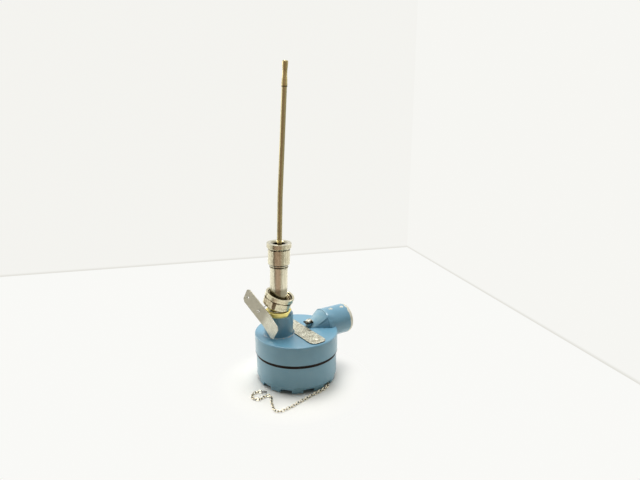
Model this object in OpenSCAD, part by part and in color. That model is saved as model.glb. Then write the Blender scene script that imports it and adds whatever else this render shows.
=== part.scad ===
// Industrial temperature sensor: a round connection head that stands on its screw cover, with a
// pipe nipple, an open union and a long spring-loaded probe above it. Millimetres, +Z up.
// The origin is on the axis of the cover, at the height of the surface that its rim stands on.

/* [Cover] */
// Radius of the cover
cover_r = 50.2; // [49.6:0.1:51.5]
// Height of the cover from its rim to its shoulder
cover_h = 34.7; // [30:0.1:42]
// Radius of the notched foot ring
foot_r = 48.7; // [46:0.1:49.3]
// Height of the notched foot ring
foot_h = 7.5; // [6:0.5:10]
// Radial thickness of the foot ring
foot_wall = 5; // [3.5:0.5:7]
// Number of wrench notches in the foot ring
notch_count = 11; // [6:1:14]
// Angle that one notch takes, in degrees
notch_angle = 16.4; // [10:0.2:18]
// Height of a notch above the rim
notch_h = 4.6; // [3:0.2:5.4]
// Direction of the first notch, in degrees
notch_turn = -70.2; // [-90:0.2:-60]
// Depth of the hollow under the cover's face
recess_h = 6.6; // [5.8:0.2:9]
// Thickness of the cover's face
face_t = 5; // [3:0.5:8]
// Radius of the hollow in the cover
cover_bore_r = 38.5; // [34:0.5:40]
// Outer radius of the screwed spigot
spigot_r = 43.5; // [42:0.5:44]
// Height of the screwed spigot above the shoulder
spigot_h = 11; // [8:0.5:12]
// Gap between the screwed spigot and the head
thread_clear = 0.3; // [0.2:0.05:0.5]

/* [Cover seal] */
// Gap between the cover's shoulder and the head
seam_gap = 1.6; // [1.2:0.1:2.2]
// Thickness of the sealing ring
seal_d = 2.6; // [2.2:0.1:3.2]
// Radius of the sealing ring at the middle of its section
seal_r = 46.4; // [46:0.1:47]
// Gap between the sealing ring and its groove
seal_clear = 0.05; // [0.02:0.01:0.1]

/* [Head] */
// Radius of the head
head_r = 51.5; // [49:0.5:56]
// Height of the head from the seam to its flat face
head_h = 24.4; // [22:0.2:30]
// Thickness of the head's flat wall
crown_t = 5; // [4:0.5:7]
// Thickness of the head's round wall above the thread
head_wall = 9.5; // [8:0.5:12]
// Radius of the rounded edge of the flat face
edge_r = 1.6; // [0.8:0.1:3]

/* [Stem hub] */
// Place of the hub across the head
hub_x = -21.2; // [-24:0.1:-18]
// Place of the hub along the head
hub_y = -8.5; // [-12:0.1:-6]
// Radius of the hub
hub_r = 17.8; // [16:0.1:18.2]
// Height of the hub above the flat face
hub_h = 25.8; // [22:0.1:30]
// Radius of the fillet at the foot of the hub
hub_fillet = 1.4; // [0.8:0.1:1.8]
// Radius of the lock ring on the nipple
lock_r = 15.8; // [14:0.1:16]
// Height of the lock ring
lock_h = 5.1; // [4:0.1:8]
// Lean of the nipple and of all that stands on it, in degrees
stem_lean = 1.6; // [0:0.1:2]

/* [Conduit entry] */
// Direction of the conduit entry, in degrees
conduit_turn = 33.5; // [25:0.5:40]
// Height of its axis above the seam
conduit_rise = 23.9; // [22:0.1:26]
// Outer radius of the barrel
conduit_r = 19; // [17:0.1:20]
// Distance of the barrel's end from the axis of the head
conduit_reach = 73.3; // [68:0.1:78]
// Length of the bare turned lip at the barrel's end
lip_l = 1.8; // [1:0.1:3]
// Step from the barrel down to the lip
lip_step = 0.9; // [0.5:0.1:1.5]
// Radius of the threaded hole
conduit_bore_r = 13.2; // [11:0.1:14]
// Length of the threaded hole
conduit_thread_l = 20; // [16:1:22]
// Distance at which the sloping hood meets the barrel
hood_s = 41; // [38:0.5:44]
// Distance of the hood's low end from the axis of the head
hood_toe_s = 25; // [22:0.5:30]
// Radius of the hood's low end
hood_toe_r = 8; // [6:0.5:10]

/* [Ground terminal] */
// Distance of the ground lug from the axis of the head
ear_s = 17.6; // [16:0.2:20]
// Radius of the lug's top
ear_r = 4.6; // [4:0.1:5.5]
// Height of the lug above the flat face
ear_h = 5.6; // [4:0.2:8]
// Radius of the ground screw's thread
ground_screw_r = 2.5; // [2:0.1:2.6]
// Radius of the ground screw's head
ground_head_r = 3.3; // [3:0.1:3.6]
// Height of the ground screw's head
ground_head_h = 2.6; // [1.8:0.1:3.5]

/* [Name plate] */
// Direction across the plate, in degrees
plate_turn = 35; // [30:0.5:40]
// Length of the plate
plate_l = 96.6; // [90:0.2:97]
// Width of the plate
plate_w = 21.6; // [17:0.2:22]
// Distance of the plate's middle line from the axis of the head
plate_shift = 2.8; // [2:0.1:3]
// Thickness of the plate
plate_t = 1; // [0.6:0.1:1.5]
// Radius of the plate's corners
plate_corner_r = 7.5; // [4:0.5:8.5]
// Distance between the plate's two screws
plate_pitch = 80; // [72:0.5:84]
// Radius of a plate screw's head
plate_head_r = 2.4; // [1.8:0.1:3]

/* [Nipple and union] */
// Outer radius of the pipe
pipe_r = 10.67; // [10:0.01:11]
// Bore radius of the pipe
pipe_bore_r = 7.9; // [7.5:0.1:8.5]
// Length of pipe that is screwed into the hub
pipe_in_hub = 17; // [12:0.5:20]
// Length of pipe seen between the lock ring and the union
pipe_seen = 53.6; // [40:0.2:80]
// Length of pipe that is screwed into the union
pipe_in_union = 15; // [12:0.5:18]
// Height of the union tailpiece
tail_h = 30.8; // [28:0.2:34]
// Radius of the tailpiece's body
tail_r = 13.2; // [12.6:0.1:13.6]
// Radius of the tailpiece's flange
flange_r = 14.8; // [14.2:0.1:15]
// Height of the flange's straight edge
flange_h = 5.4; // [3:0.2:7]
// Height of the taper under the flange
taper_h = 1.6; // [0.8:0.2:3]
// Bore radius of the tailpiece
tail_bore_r = 7; // [6.2:0.1:7.5]
// Outer radius of the union nut
nut_r = 17.9; // [17.5:0.1:19]
// Height of the union nut
nut_h = 15.6; // [13:0.2:20]
// Distance across the nut's wrench flats
nut_flats = 33.4; // [33:0.1:34]
// Height of the nut's round collar above its flats
nut_collar_h = 5.6; // [3:0.2:7]
// Radius of the nut's threaded bore
nut_bore_r = 15; // [14.9:0.1:15.4]
// Radius of the hole in the nut's lip
nut_lip_r = 13.9; // [13.7:0.1:14.2]
// Thickness of the nut's lip
nut_lip_t = 2.8; // [2:0.1:4]
// Tilt of the nut against the pipe, in degrees
nut_tilt = 17; // [10:0.5:17.5]
// Direction in which the nut tilts, in degrees
nut_turn = -12.5; // [-20:0.5:0]
// Distance that the nut hangs off the pipe's axis
nut_shift = 2.4; // [1:0.1:2.5]

/* [Probe] */
// Radius of the probe sheath
sheath_r = 3; // [2.4:0.1:3.2]
// Bore radius of the sheath
sheath_bore_r = 2.3; // [1.6:0.1:2.4]
// Height of the first bend
bend_1_z = 107; // [106:1:120]
// Lean after the first bend, in degrees
bend_1 = 0.35; // [0.1:0.05:1]
// Length of the sheath from the first bend to the second
middle_l = 122.8; // [110:0.2:140]
// Further lean after the second bend, in degrees
bend_2 = 1.29; // [0:0.01:1.7]
// Length of the sheath from the second bend to the tip
upper_l = 122.6; // [100:0.2:140]
// Length of the swaged tip
tip_l = 27.4; // [20:0.2:34]
// Radius of the tip at its two ends
tip_r = 3.35; // [3.2:0.05:3.6]
// Radius of the tip at its waist
tip_waist_r = 2.7; // [2.6:0.05:3]
// Radius of the sensing element in the tip
element_r = 1.6; // [1:0.1:1.8]
// Travel of the spring-loaded probe
probe_travel = 10; // [6:0.5:12]
// Length of the spring at rest
spring_l = 20; // [18:0.5:24]
// Radius of the spring at the middle of its wire
spring_r = 5.6; // [5.2:0.1:6]
// Radius of the spring's wire
spring_wire_r = 0.6; // [0.4:0.05:0.7]

/* [Terminal block] */
// Radius of the block
block_r = 19.5; // [17:0.5:20]
// Height of the block
block_h = 11; // [8:0.5:12]
// Place of the block across the head
block_x = 8.5; // [7:0.5:11]
// Place of the block along the head
block_y = 5.5; // [4:0.5:7]
// Distance between two terminals
terminal_pitch = 13; // [11:0.5:14]
// Radius of a terminal screw
terminal_screw_r = 1.75; // [1.5:0.05:2]
// Radius of a lead wire
lead_r = 0.75; // [0.5:0.05:0.9]

/* [Tag] */
// Length of the tag plate
tag_l = 65.5; // [50:0.5:70]
// Width of the tag plate
tag_w = 24.4; // [18:0.2:25]
// Thickness of the tag plate
tag_t = 1; // [0.6:0.1:1.4]
// Length of the tag's bent lower end
tag_bent_l = 20.8; // [12:0.2:24]
// Bend of the lower end, in degrees
tag_bend = 7; // [0:0.5:12]
// Distance of the wire hole from the middle of the tag
tag_hole_s = 4.4; // [3:0.2:8]
// Radius of the tag's holes
tag_hole_r = 1.7; // [1.4:0.1:2.2]
// Radius of the tag wire
wire_r = 0.4; // [0.3:0.05:0.4]

/* [Cover chain] */
// Radius of the wire of a link
link_wire_r = 0.38; // [0.3:0.01:0.4]
// Length of a link over its ends
link_l = 4.8; // [4.7:0.1:5.2]
// Width of a link
link_w = 3; // [2.8:0.1:3.4]
// Distance from one link to the next
link_pitch = 3; // [2.9:0.02:3.06]
// Radius of the ring at the chain's end, at the middle of its wire
end_ring_r = 2.8; // [2.4:0.1:3.4]

/* [Hidden] */
$fn = 96;

// A cut goes this far past the face that it opens
cut = 1;
// Faces that only touch are this far apart where they are curved
touch = 0.05;

// Heights, from the floor up
seam_z = cover_h + seam_gap;
crown_z = seam_z + head_h;
hub_z = crown_z + hub_h;
lock_z = hub_z + lock_h;
tail_z = lock_z + pipe_seen;
flange_z = tail_z + tail_h;
pipe_z = hub_z - pipe_in_hub;
ceiling_z = crown_z - crown_t;
conduit_z = seam_z + conduit_rise;
cavity_r = head_r - head_wall;
hub_bore_r = pipe_bore_r;

// Depth of each half of the sealing ring's groove
groove_h = (seal_d - seam_gap) / 2 + seal_clear;

blue = [0.38, 0.58, 0.7];
nickel = [0.8, 0.78, 0.68];
steel = [0.72, 0.71, 0.68];
gold = [0.52, 0.45, 0.26];

// A round bar from one point to another
module bar(from, to, r) {
    d = to - from;
    turn = atan2(d.y, d.x);
    lean = atan2(norm([d.x, d.y]), d.z);
    translate(from) rotate([0, lean, turn]) cylinder(r = r, h = norm(d));
}

// A flat ring
module ring(r, hole_r, h) {
    difference() {
        cylinder(r = r, h = h);
        translate([0, 0, -cut]) cylinder(r = hole_r, h = h + 2 * cut);
    }
}

// A rectangle with round corners, about the origin
module rounded_rectangle(w, l, r) {
    square([w - 2 * r, l], center = true);
    square([w, l - 2 * r], center = true);
    for (x = [-1, 1], y = [-1, 1])
        translate([x * (w / 2 - r), y * (l / 2 - r)]) circle(r = r);
}

// A domed screw head on the plane z = 0, pointing up, with a straight slot
module slotted_head(r, h) {
    slot_w = r * 0.3;
    difference() {
        rotate_extrude() polygon(concat(
            [[0, 0], [r, 0]],
            [for (a = [0 : 15 : 90]) [r * (0.75 + 0.25 * cos(a)), h * (0.55 + 0.45 * sin(a))]],
            [[0, h]]));
        translate([-r - cut, -slot_w / 2, h * 0.55]) cube([2 * r + 2 * cut, slot_w, h]);
    }
}

// A closed tube through the points of a path, each with a ring square to the path
function path_way(p, i) = p[min(i + 1, len(p) - 1)] - p[max(i - 1, 0)];
function unit(v) = v / norm(v);
function side_of(d, up) = unit(cross(d, up));
function tube_ring(p, i, r, sides, up) =
    let (d = unit(path_way(p, i)), a = side_of(d, up), b = cross(a, d))
    [for (k = [0 : sides - 1]) p[i] + r * (cos(360 * k / sides) * a + sin(360 * k / sides) * b)];
module tube(path, r, sides, up = [0, 0, 1]) {
    rings = len(path);
    points = [for (i = [0 : rings - 1]) each tube_ring(path, i, r, sides, up)];
    ends = [[for (k = [0 : sides - 1]) k], [for (k = [sides - 1 : -1 : 0]) (rings - 1) * sides + k]];
    walls = [for (i = [0 : rings - 2], k = [0 : sides - 1])
        [i * sides + (k + 1) % sides, i * sides + k, (i + 1) * sides + k,
            (i + 1) * sides + (k + 1) % sides]];
    polyhedron(points, concat(ends, walls));
}

module at_hub() {
    translate([hub_x, hub_y, 0]) children();
}

// The frame of the stem: it leans about the middle of the hub's top face
module at_stem() {
    translate([hub_x, hub_y, hub_z]) rotate([0, stem_lean, 0]) translate([0, 0, -hub_z]) children();
}

// The frame of the conduit entry: +X runs outwards along its axis
module at_conduit() {
    rotate([0, 0, conduit_turn]) translate([0, 0, conduit_z]) children();
}

// The frame of the name plate: X runs across it, Y along it, and z = 0 is the flat face
module at_plate() {
    rotate([0, 0, plate_turn]) translate([plate_shift, 0, crown_z]) children();
}

// Cover: a deep cap with a screwed spigot and a notched foot ring

cover_cavity_z = recess_h + face_t;

module foot_notch(turn) {
    far = cover_r * 2;
    half = notch_angle / 2;
    rotate([0, 0, turn]) translate([0, 0, -cut]) linear_extrude(notch_h + cut)
        polygon([[0, 0], [far, -far * tan(half)], [far, far * tan(half)]]);
}

module cover() color(blue) {
    bevel = 0.8;
    difference() {
        union() {
            rotate_extrude() polygon([
                [0, recess_h], [foot_r - foot_wall, recess_h], [foot_r - foot_wall, 0],
                [foot_r - bevel, 0], [foot_r, bevel], [foot_r, foot_h],
                [cover_r - bevel, foot_h], [cover_r, foot_h + bevel],
                [cover_r, cover_h - bevel / 2], [cover_r - bevel / 2, cover_h],
                [spigot_r, cover_h], [spigot_r, cover_h + spigot_h - bevel],
                [spigot_r - bevel, cover_h + spigot_h], [cover_bore_r, cover_h + spigot_h],
                [cover_bore_r, cover_cavity_z], [0, cover_cavity_z]]);
        }
        for (i = [0 : notch_count - 1]) foot_notch(notch_turn + i * 360 / notch_count);
        seal_groove(cover_h - groove_h, groove_h + cut);
        translate([0, 0, recess_h - cut]) cylinder(r = chain_screw_r + touch, h = chain_screw_l + cut);
    }
}

// The groove that holds one half of the sealing ring
module seal_groove(z, h) {
    half = seal_d / 2 + seal_clear;
    translate([0, 0, z]) difference() {
        cylinder(r = seal_r + half, h = h);
        translate([0, 0, -cut]) cylinder(r = seal_r - half, h = h + 2 * cut);
    }
}

module cover_seal() color([0.1, 0.1, 0.1])
    translate([0, 0, cover_h + seam_gap / 2]) rotate_extrude()
        translate([seal_r, 0]) circle(r = seal_d / 2, $fn = 24);

// Head: the cast housing with its conduit entry and ground lug

thread_h = spigot_h + 1.5;

module conduit_casting() {
    inner_s = hood_s - 3;
    at_conduit() {
        translate([inner_s, 0, 0]) rotate([0, 90, 0])
            cylinder(r = conduit_r, h = conduit_reach - inner_s);
        translate([conduit_reach - cut, 0, 0]) rotate([0, 90, 0])
            cylinder(r = conduit_r - lip_step, h = lip_l + cut);
        toe_z = crown_z - conduit_z;
        hull() {
            translate([hood_s - 2, 0, 0]) rotate([0, 90, 0])
                cylinder(r = conduit_r - 0.05, h = 2, $fn = 40);
            translate([hood_toe_s, 0, toe_z - crown_t / 2])
                cylinder(r = hood_toe_r, h = crown_t / 2 + 0.5, $fn = 32);
        }
    }
}

module ground_ear() {
    rotate([0, 0, conduit_turn]) translate([ear_s, 0, crown_z - cut])
        cylinder(r1 = ear_r * 0.55, r2 = ear_r, h = ear_h + cut);
}

module head_housing() color(blue) {
    difference() {
        union() {
            translate([0, 0, seam_z]) rotate_extrude() polygon(concat(
                [[0, 0], [head_r - 0.4, 0], [head_r, 0.4], [head_r, head_h - edge_r]],
                [for (a = [15 : 15 : 75]) [
                    head_r - edge_r + edge_r * cos(a), head_h - edge_r + edge_r * sin(a)]],
                [[head_r - edge_r, head_h], [0, head_h]]));
            conduit_casting();
            ground_ear();
        }
        translate([0, 0, seam_z - cut]) cylinder(r = spigot_r + thread_clear, h = thread_h + cut);
        translate([0, 0, seam_z]) cylinder(r = cavity_r, h = head_h - crown_t);
        translate([0, 0, -cut]) cylinder(r = head_r + cut, h = seam_z + cut);
        seal_groove(seam_z - cut, groove_h + cut);
        at_stem() translate([0, 0, ceiling_z - 2 * cut]) cylinder(r = hub_bore_r, h = crown_t + 4 * cut);
        at_conduit() {
            translate([conduit_reach + lip_l - conduit_thread_l, 0, 0]) rotate([0, 90, 0])
                cylinder(r = conduit_bore_r, h = conduit_thread_l + cut);
            throat_s = 34;
            translate([throat_s, 0, 0]) rotate([0, 90, 0])
                cylinder(r = conduit_bore_r - 2, h = conduit_reach - throat_s);
        }
        rotate([0, 0, conduit_turn]) translate([ear_s, 0, crown_z + ear_h - ground_thread_l])
            cylinder(r = ground_screw_r + touch, h = ground_thread_l + cut);
        at_plate() for (y = [-1, 1]) translate([0, y * plate_pitch / 2, -plate_screw_l])
            cylinder(r = plate_screw_r + touch, h = plate_screw_l + cut, $fn = 32);
        for (p = block_screw_places) translate([p.x, p.y, ceiling_z - cut])
            cylinder(r = block_screw_r + touch, h = block_screw_in + cut, $fn = 32);
    }
}

// Stem: the hub that stands on the flat face, the lock ring, the pipe nipple and the open union

module stem_hub() color(blue)
    difference() {
        at_hub() translate([0, 0, crown_z]) rotate_extrude() polygon(concat(
            [[0, 0]],
            [for (a = [0 : 15 : 90]) [hub_r + hub_fillet * (1 - sin(a)), hub_fillet * (1 - cos(a))]],
            [[hub_r, hub_h], [0, hub_h]]));
        at_stem() translate([0, 0, pipe_z]) cylinder(r = pipe_r, h = hub_z);
        at_stem() translate([0, 0, crown_z - 2 * cut]) cylinder(r = hub_bore_r, h = hub_z);
    }

module lock_ring() color([0.85, 0.72, 0.3]) {
    bevel = 0.6;
    difference() {
        at_hub() translate([0, 0, hub_z]) rotate_extrude() polygon([
            [0, 0], [lock_r, 0], [lock_r, lock_h - bevel], [lock_r - bevel, lock_h], [0, lock_h]]);
        at_stem() translate([0, 0, hub_z - 2 * cut])
            cylinder(r = pipe_r + touch, h = lock_h + 4 * cut);
    }
}

module nipple() color(nickel)
    at_stem() translate([0, 0, pipe_z])
        ring(pipe_r - touch, pipe_bore_r, pipe_in_hub + lock_h + pipe_seen + pipe_in_union);

module union_tailpiece() color(nickel) {
    bead_r = pipe_r + 0.6;
    neck_r = pipe_r + 0.35;
    bead_h = 2.1;
    neck_h = 1.7;
    chamfer = 1.6;
    groove = 0.5;
    taper_z = tail_h - flange_h - taper_h;
    groove_z = taper_z - 1.1;
    seat_r = tail_bore_r + 3.6;
    at_stem() translate([0, 0, tail_z]) difference() {
        rotate_extrude() polygon([
            [0, 0], [bead_r - 0.3, 0], [bead_r, 0.3], [bead_r, bead_h], [neck_r, bead_h],
            [neck_r, bead_h + neck_h], [tail_r - chamfer, bead_h + neck_h],
            [tail_r, bead_h + neck_h + chamfer], [tail_r, groove_z], [tail_r - groove, groove_z],
            [tail_r - groove, taper_z], [tail_r, taper_z], [flange_r, tail_h - flange_h],
            [flange_r, tail_h - 0.5], [flange_r - 0.5, tail_h], [seat_r, tail_h],
            [tail_bore_r, tail_h - 2], [0, tail_h - 2]]);
        translate([0, 0, -cut]) cylinder(r = pipe_r, h = pipe_in_union + cut);
        translate([0, 0, -cut]) cylinder(r = tail_bore_r, h = tail_h + cut);
    }
}

// Height of the middle of the nut's lower face, with its low edge on the lock ring
nut_z = lock_z + nut_flats / 2 * sin(nut_tilt + stem_lean) + 0.3;
// The nut's corners stand this far round from the direction of its tilt
nut_corner = -88.5;

// The frame of the union nut: +Z runs up its tilted axis from its lower face
module at_nut() {
    at_stem() translate([0, 0, nut_z]) rotate([0, 0, nut_turn]) translate([-nut_shift, 0, 0])
        rotate([0, nut_tilt, 0]) children();
}

module union_nut() color(nickel) {
    rim = 0.5;
    // A turned groove runs round the nut under its collar
    groove = 1.3;
    groove_z = nut_h - nut_collar_h;
    at_nut() difference() {
        intersection() {
            rotate_extrude() polygon([
                [0, 0], [nut_r - 1, 0], [nut_r, 1], [nut_r, groove_z - 1], [nut_r - groove, groove_z - 1],
                [nut_r - groove, groove_z], [nut_r, groove_z], [nut_r, nut_h - rim], [nut_r - rim, nut_h],
                [0, nut_h]]);
            union() {
                rotate([0, 0, nut_corner]) cylinder(r = nut_flats / 2 / cos(30), h = nut_h, $fn = 6);
                translate([0, 0, nut_h - nut_collar_h]) cylinder(r = nut_r + cut, h = nut_collar_h);
            }
        }
        translate([0, 0, -cut]) cylinder(r = nut_lip_r, h = nut_h + 2 * cut);
        translate([0, 0, nut_lip_t]) cylinder(r = nut_bore_r, h = nut_h);
        translate([0, 0, nut_h - 1]) cylinder(r1 = nut_bore_r, r2 = nut_bore_r + 1.6, h = 1.6);
    }
}

// Probe: the bent sheath with its core, tip, collar and spring

// Height of the sheath's lower end, inside the lead sleeve
sheath_z = 46;
sleeve_z = 37;
sleeve_l = 17;
sleeve_r = 4.4;

// A round bar along the probe's bent line, from the head up to the tip and past each by a distance
module along_probe(r, past) {
    knee_r = r * 1.005;
    at_stem() {
        translate([0, 0, sheath_z - past]) cylinder(r = r, h = bend_1_z - sheath_z + past);
        translate([0, 0, bend_1_z]) sphere(r = knee_r);
        translate([0, 0, bend_1_z]) rotate([0, bend_1, 0]) {
            cylinder(r = r, h = middle_l);
            translate([0, 0, middle_l]) sphere(r = knee_r);
            translate([0, 0, middle_l]) rotate([0, bend_2, 0]) cylinder(r = r, h = upper_l + past);
        }
    }
}

module probe_sheath() color(gold)
    difference() {
        along_probe(sheath_r, 0);
        along_probe(sheath_bore_r, cut);
    }

module probe_core() color([0.93, 0.92, 0.88]) along_probe(sheath_bore_r - touch, 0);

// The frame of the tip: +Z runs up its leaning axis
module at_tip() {
    at_stem() translate([0, 0, bend_1_z]) rotate([0, bend_1, 0]) translate([0, 0, middle_l])
        rotate([0, bend_2, 0]) translate([0, 0, upper_l]) children();
}

tip_wall = 1.1;

module probe_tip() color([0.7, 0.62, 0.4]) {
    shoulder = tip_l * 0.12;
    at_tip() difference() {
        rotate_extrude() polygon(concat(
            [[0, 0], [tip_r, 0], [tip_r, shoulder]],
            [for (u = [0.2 : 0.2 : 1]) [
                tip_waist_r + (tip_r - tip_waist_r) * (0.5 + 0.5 * cos(360 * u)),
                shoulder + u * (tip_l - shoulder - 1)]],
            [[tip_r - 0.7, tip_l], [0, tip_l]]));
        translate([0, 0, -cut]) cylinder(r = element_r + touch, h = tip_l - tip_wall + cut);
    }
}

module sensing_element() color([0.95, 0.94, 0.9])
    at_tip() translate([0, 0, touch]) cylinder(r = element_r, h = tip_l - tip_wall - 2 * touch, $fn = 32);

collar_h = 6;
collar_z = bend_1_z - 4 - collar_h;
collar_r = pipe_bore_r - 0.4;
seat_h = 1.6;

module probe_collar() color(steel)
    at_stem() translate([0, 0, collar_z]) ring(collar_r, sheath_r + touch, collar_h);

module stop_ring() color(steel)
    at_stem() translate([0, 0, collar_z + collar_h + touch])
        ring(pipe_bore_r - touch, sheath_r + 1.6, 1.4);

module spring_seat() color(steel)
    at_stem() translate([0, 0, collar_z - spring_l - seat_h])
        ring(pipe_bore_r - touch, sheath_r + 0.4, seat_h);

module probe_spring() color(steel) {
    turns = 7;
    steps = 14;
    rise = spring_l - 2 * spring_wire_r - 2 * touch;
    path = [for (i = [0 : turns * steps]) [
        spring_r * cos(360 * i / steps), spring_r * sin(360 * i / steps), rise * i / (turns * steps)]];
    at_stem() translate([0, 0, collar_z - spring_l + spring_wire_r + touch]) tube(path, spring_wire_r, 6);
}

module lead_sleeve() color([0.15, 0.15, 0.16])
    at_stem() translate([0, 0, sleeve_z]) difference() {
        cylinder(r = sleeve_r, h = sleeve_l);
        translate([0, 0, sheath_z - sleeve_z]) cylinder(r = sheath_r + touch, h = sleeve_l);
    }

// Terminal block, with its face towards the cover

block_z = ceiling_z - block_h;
block_screw_r = 1.9;
block_screw_in = 3;
clamp_t = 1.6;
terminal_head_r = 3.2;
terminal_head_h = 2.2;
terminal_sink = 6;
clamp_w = 8;
fin_t = 1.2;
fin_h = 1.6;
fin_l = terminal_pitch - 4;
block_head_r = 3.4;
block_head_h = 2.2;
// Distance of a block screw from the block's edge
block_screw_edge = 4.5;
terminal_places = [for (x = [-0.5, 0.5], y = [-0.5, 0.5]) [
    block_x + x * terminal_pitch, block_y + y * terminal_pitch]];
block_screw_places = [for (x = [-1, 1]) [block_x + x * (block_r - block_screw_edge), block_y]];

module terminal_block() color([0.2, 0.13, 0.1])
    difference() {
        union() {
            translate([block_x, block_y, block_z]) cylinder(r = block_r, h = block_h);
            translate([block_x - fin_t / 2, block_y - fin_l / 2, block_z - fin_h])
                cube([fin_t, fin_l, fin_h + cut]);
        }
        for (p = terminal_places) translate([p.x, p.y, block_z - cut])
            cylinder(r = terminal_screw_r + touch, h = terminal_sink + cut, $fn = 32);
        for (p = block_screw_places) translate([p.x, p.y, block_z - cut])
            cylinder(r = block_screw_r + touch, h = block_h + 2 * cut, $fn = 32);
    }

module terminal_clamps() color([0.75, 0.68, 0.4])
    for (p = terminal_places) translate([p.x, p.y, block_z - clamp_t]) difference() {
        translate([-clamp_w / 2, -clamp_w / 2, 0]) cube([clamp_w, clamp_w, clamp_t]);
        translate([0, 0, -cut]) cylinder(r = terminal_screw_r + touch, h = clamp_t + 2 * cut, $fn = 32);
    }

module terminal_screws() color([0.78, 0.72, 0.45])
    for (p = terminal_places) translate([p.x, p.y, block_z - clamp_t]) rotate([180, 0, 0]) {
        slotted_head(terminal_head_r, terminal_head_h);
        translate([0, 0, -clamp_t - terminal_sink + 0.5])
            cylinder(r = terminal_screw_r, h = clamp_t + terminal_sink, $fn = 32);
    }

module block_screws() color(steel)
    for (p = block_screw_places) translate([p.x, p.y, block_z]) rotate([180, 0, 0]) {
        slotted_head(block_head_r, block_head_h);
        translate([0, 0, -block_h - block_screw_in + 0.2])
            cylinder(r = block_screw_r, h = block_h + block_screw_in, $fn = 32);
    }

// The leads start side by side under the sleeve, at these distances from its axis
lead_starts = [-1.2, 3.2, -3.2, 1.2];
lead_gap = 0.3;
lead_steps = 16;
function smooth(u) = u * u * (3 - 2 * u);
// A lead from under the sleeve to the edge of a terminal's clamp, where it rises late
function lead_path(i) =
    let (p = terminal_places[i],
        start = [hub_x - (hub_z - sleeve_z) * sin(stem_lean), hub_y + lead_starts[i],
            sleeve_z - lead_r - lead_gap],
        end = [p.x - clamp_w / 2 - lead_gap, p.y, block_z - lead_r - lead_gap],
        way = end - start)
    [for (n = [0 : lead_steps]) let (u = n / lead_steps)
        [start.x + way.x * u, start.y + way.y * smooth(u),
            start.z + way.z * smooth(max(0, (u - 0.72) / 0.28))]];

module lead_wires() color([0.85, 0.2, 0.15])
    for (i = [0 : len(terminal_places) - 1]) tube(lead_path(i), lead_r, 8);

// Name plate and its two screws

plate_screw_r = 1.2;
plate_screw_l = 3.5;

module name_plate() color(steel)
    difference() {
        at_plate() linear_extrude(plate_t) rounded_rectangle(plate_w, plate_l, plate_corner_r);
        at_plate() for (y = [-1, 1]) translate([0, y * plate_pitch / 2, -cut])
            cylinder(r = plate_screw_r + touch, h = plate_t + 2 * cut, $fn = 32);
        at_hub() translate([0, 0, crown_z - cut])
            cylinder(r = hub_r + hub_fillet + 0.3, h = plate_t + 2 * cut);
    }

module name_plate_screws() color(steel)
    at_plate() for (y = [-1, 1]) translate([0, y * plate_pitch / 2, 0]) {
        translate([0, 0, plate_t]) slotted_head(plate_head_r, 1.3);
        translate([0, 0, -plate_screw_l + 0.3])
            cylinder(r = plate_screw_r, h = plate_screw_l + plate_t, $fn = 32);
    }

// Ground screw with the saddle clamp under its head

clamp_plate_t = 1;
ground_thread_l = 5;

module at_ground() {
    rotate([0, 0, conduit_turn]) translate([ear_s, 0, crown_z + ear_h]) children();
}

module ground_clamp() color(steel) {
    w = 2 * (ground_head_r + 0.3 + clamp_plate_t);
    tab_h = 3;
    at_ground() difference() {
        union() {
            translate([-w / 2, -w / 2, 0]) cube([w, w, clamp_plate_t]);
            translate([w / 2 - clamp_plate_t, -w / 2, 0]) cube([clamp_plate_t, w, tab_h]);
        }
        translate([0, 0, -cut]) cylinder(r = ground_screw_r + touch, h = clamp_plate_t + 2 * cut);
    }
}

module ground_screw() color([0.86, 0.84, 0.76])
    at_ground() {
        rise = clamp_plate_t;
        translate([0, 0, rise]) rotate([0, 0, 40]) slotted_head(ground_head_r, ground_head_h);
        translate([0, 0, -ground_thread_l + 0.3]) cylinder(r = ground_screw_r, h = ground_thread_l + rise);
    }

// Tag: a plate that hangs on a wire round the pipe

tag_middle = [-41.39, -16.86, 89.49];
tag_turn = 225.6;
tag_lean = -6.3;
tag_roll = 234.7;

// The frame of the tag: X runs up along it, and Z out of its outer face
module at_tag() {
    translate(tag_middle) rotate([0, 0, tag_turn]) rotate([0, 90 - tag_lean, 0])
        rotate([0, 0, tag_roll]) children();
}
// A point of the tag's frame as a point of the part's frame
function turned(v, a, i) =
    i == 2 ? [v.x * cos(a) - v.y * sin(a), v.x * sin(a) + v.y * cos(a), v.z]
    : [v.x * cos(a) + v.z * sin(a), v.y, -v.x * sin(a) + v.z * cos(a)];
function from_tag(v) = tag_middle + turned(turned(turned(v, tag_roll, 2), 90 - tag_lean, 1), tag_turn, 2);

module tag_plate() color(steel) {
    corner = 3.5;
    end_hole = 6.1;
    low = -tag_l / 2;
    bend_x = low + tag_bent_l;
    drop = tag_bent_l * sin(tag_bend);
    at_tag() difference() {
        intersection() {
            translate([0, tag_w, 0]) rotate([90, 0, 0]) linear_extrude(2 * tag_w) polygon([
                [low, -tag_t / 2 + drop], [bend_x, -tag_t / 2], [-low, -tag_t / 2],
                [-low, tag_t / 2], [bend_x, tag_t / 2], [low, tag_t / 2 + drop]]);
            translate([0, 0, -tag_l]) linear_extrude(2 * tag_l) polygon([
                [low + corner, -tag_w / 2], [-low - corner, -tag_w / 2], [-low, -tag_w / 2 + corner],
                [-low, tag_w / 2 - corner], [-low - corner, tag_w / 2], [low + corner, tag_w / 2],
                [low, tag_w / 2 - corner], [low, -tag_w / 2 + corner]]);
        }
        for (x = [tag_hole_s, tag_l / 2 - end_hole]) translate([x, 0, -tag_t])
            cylinder(r = tag_hole_r, h = 2 * tag_t, $fn = 32);
    }
}

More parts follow.
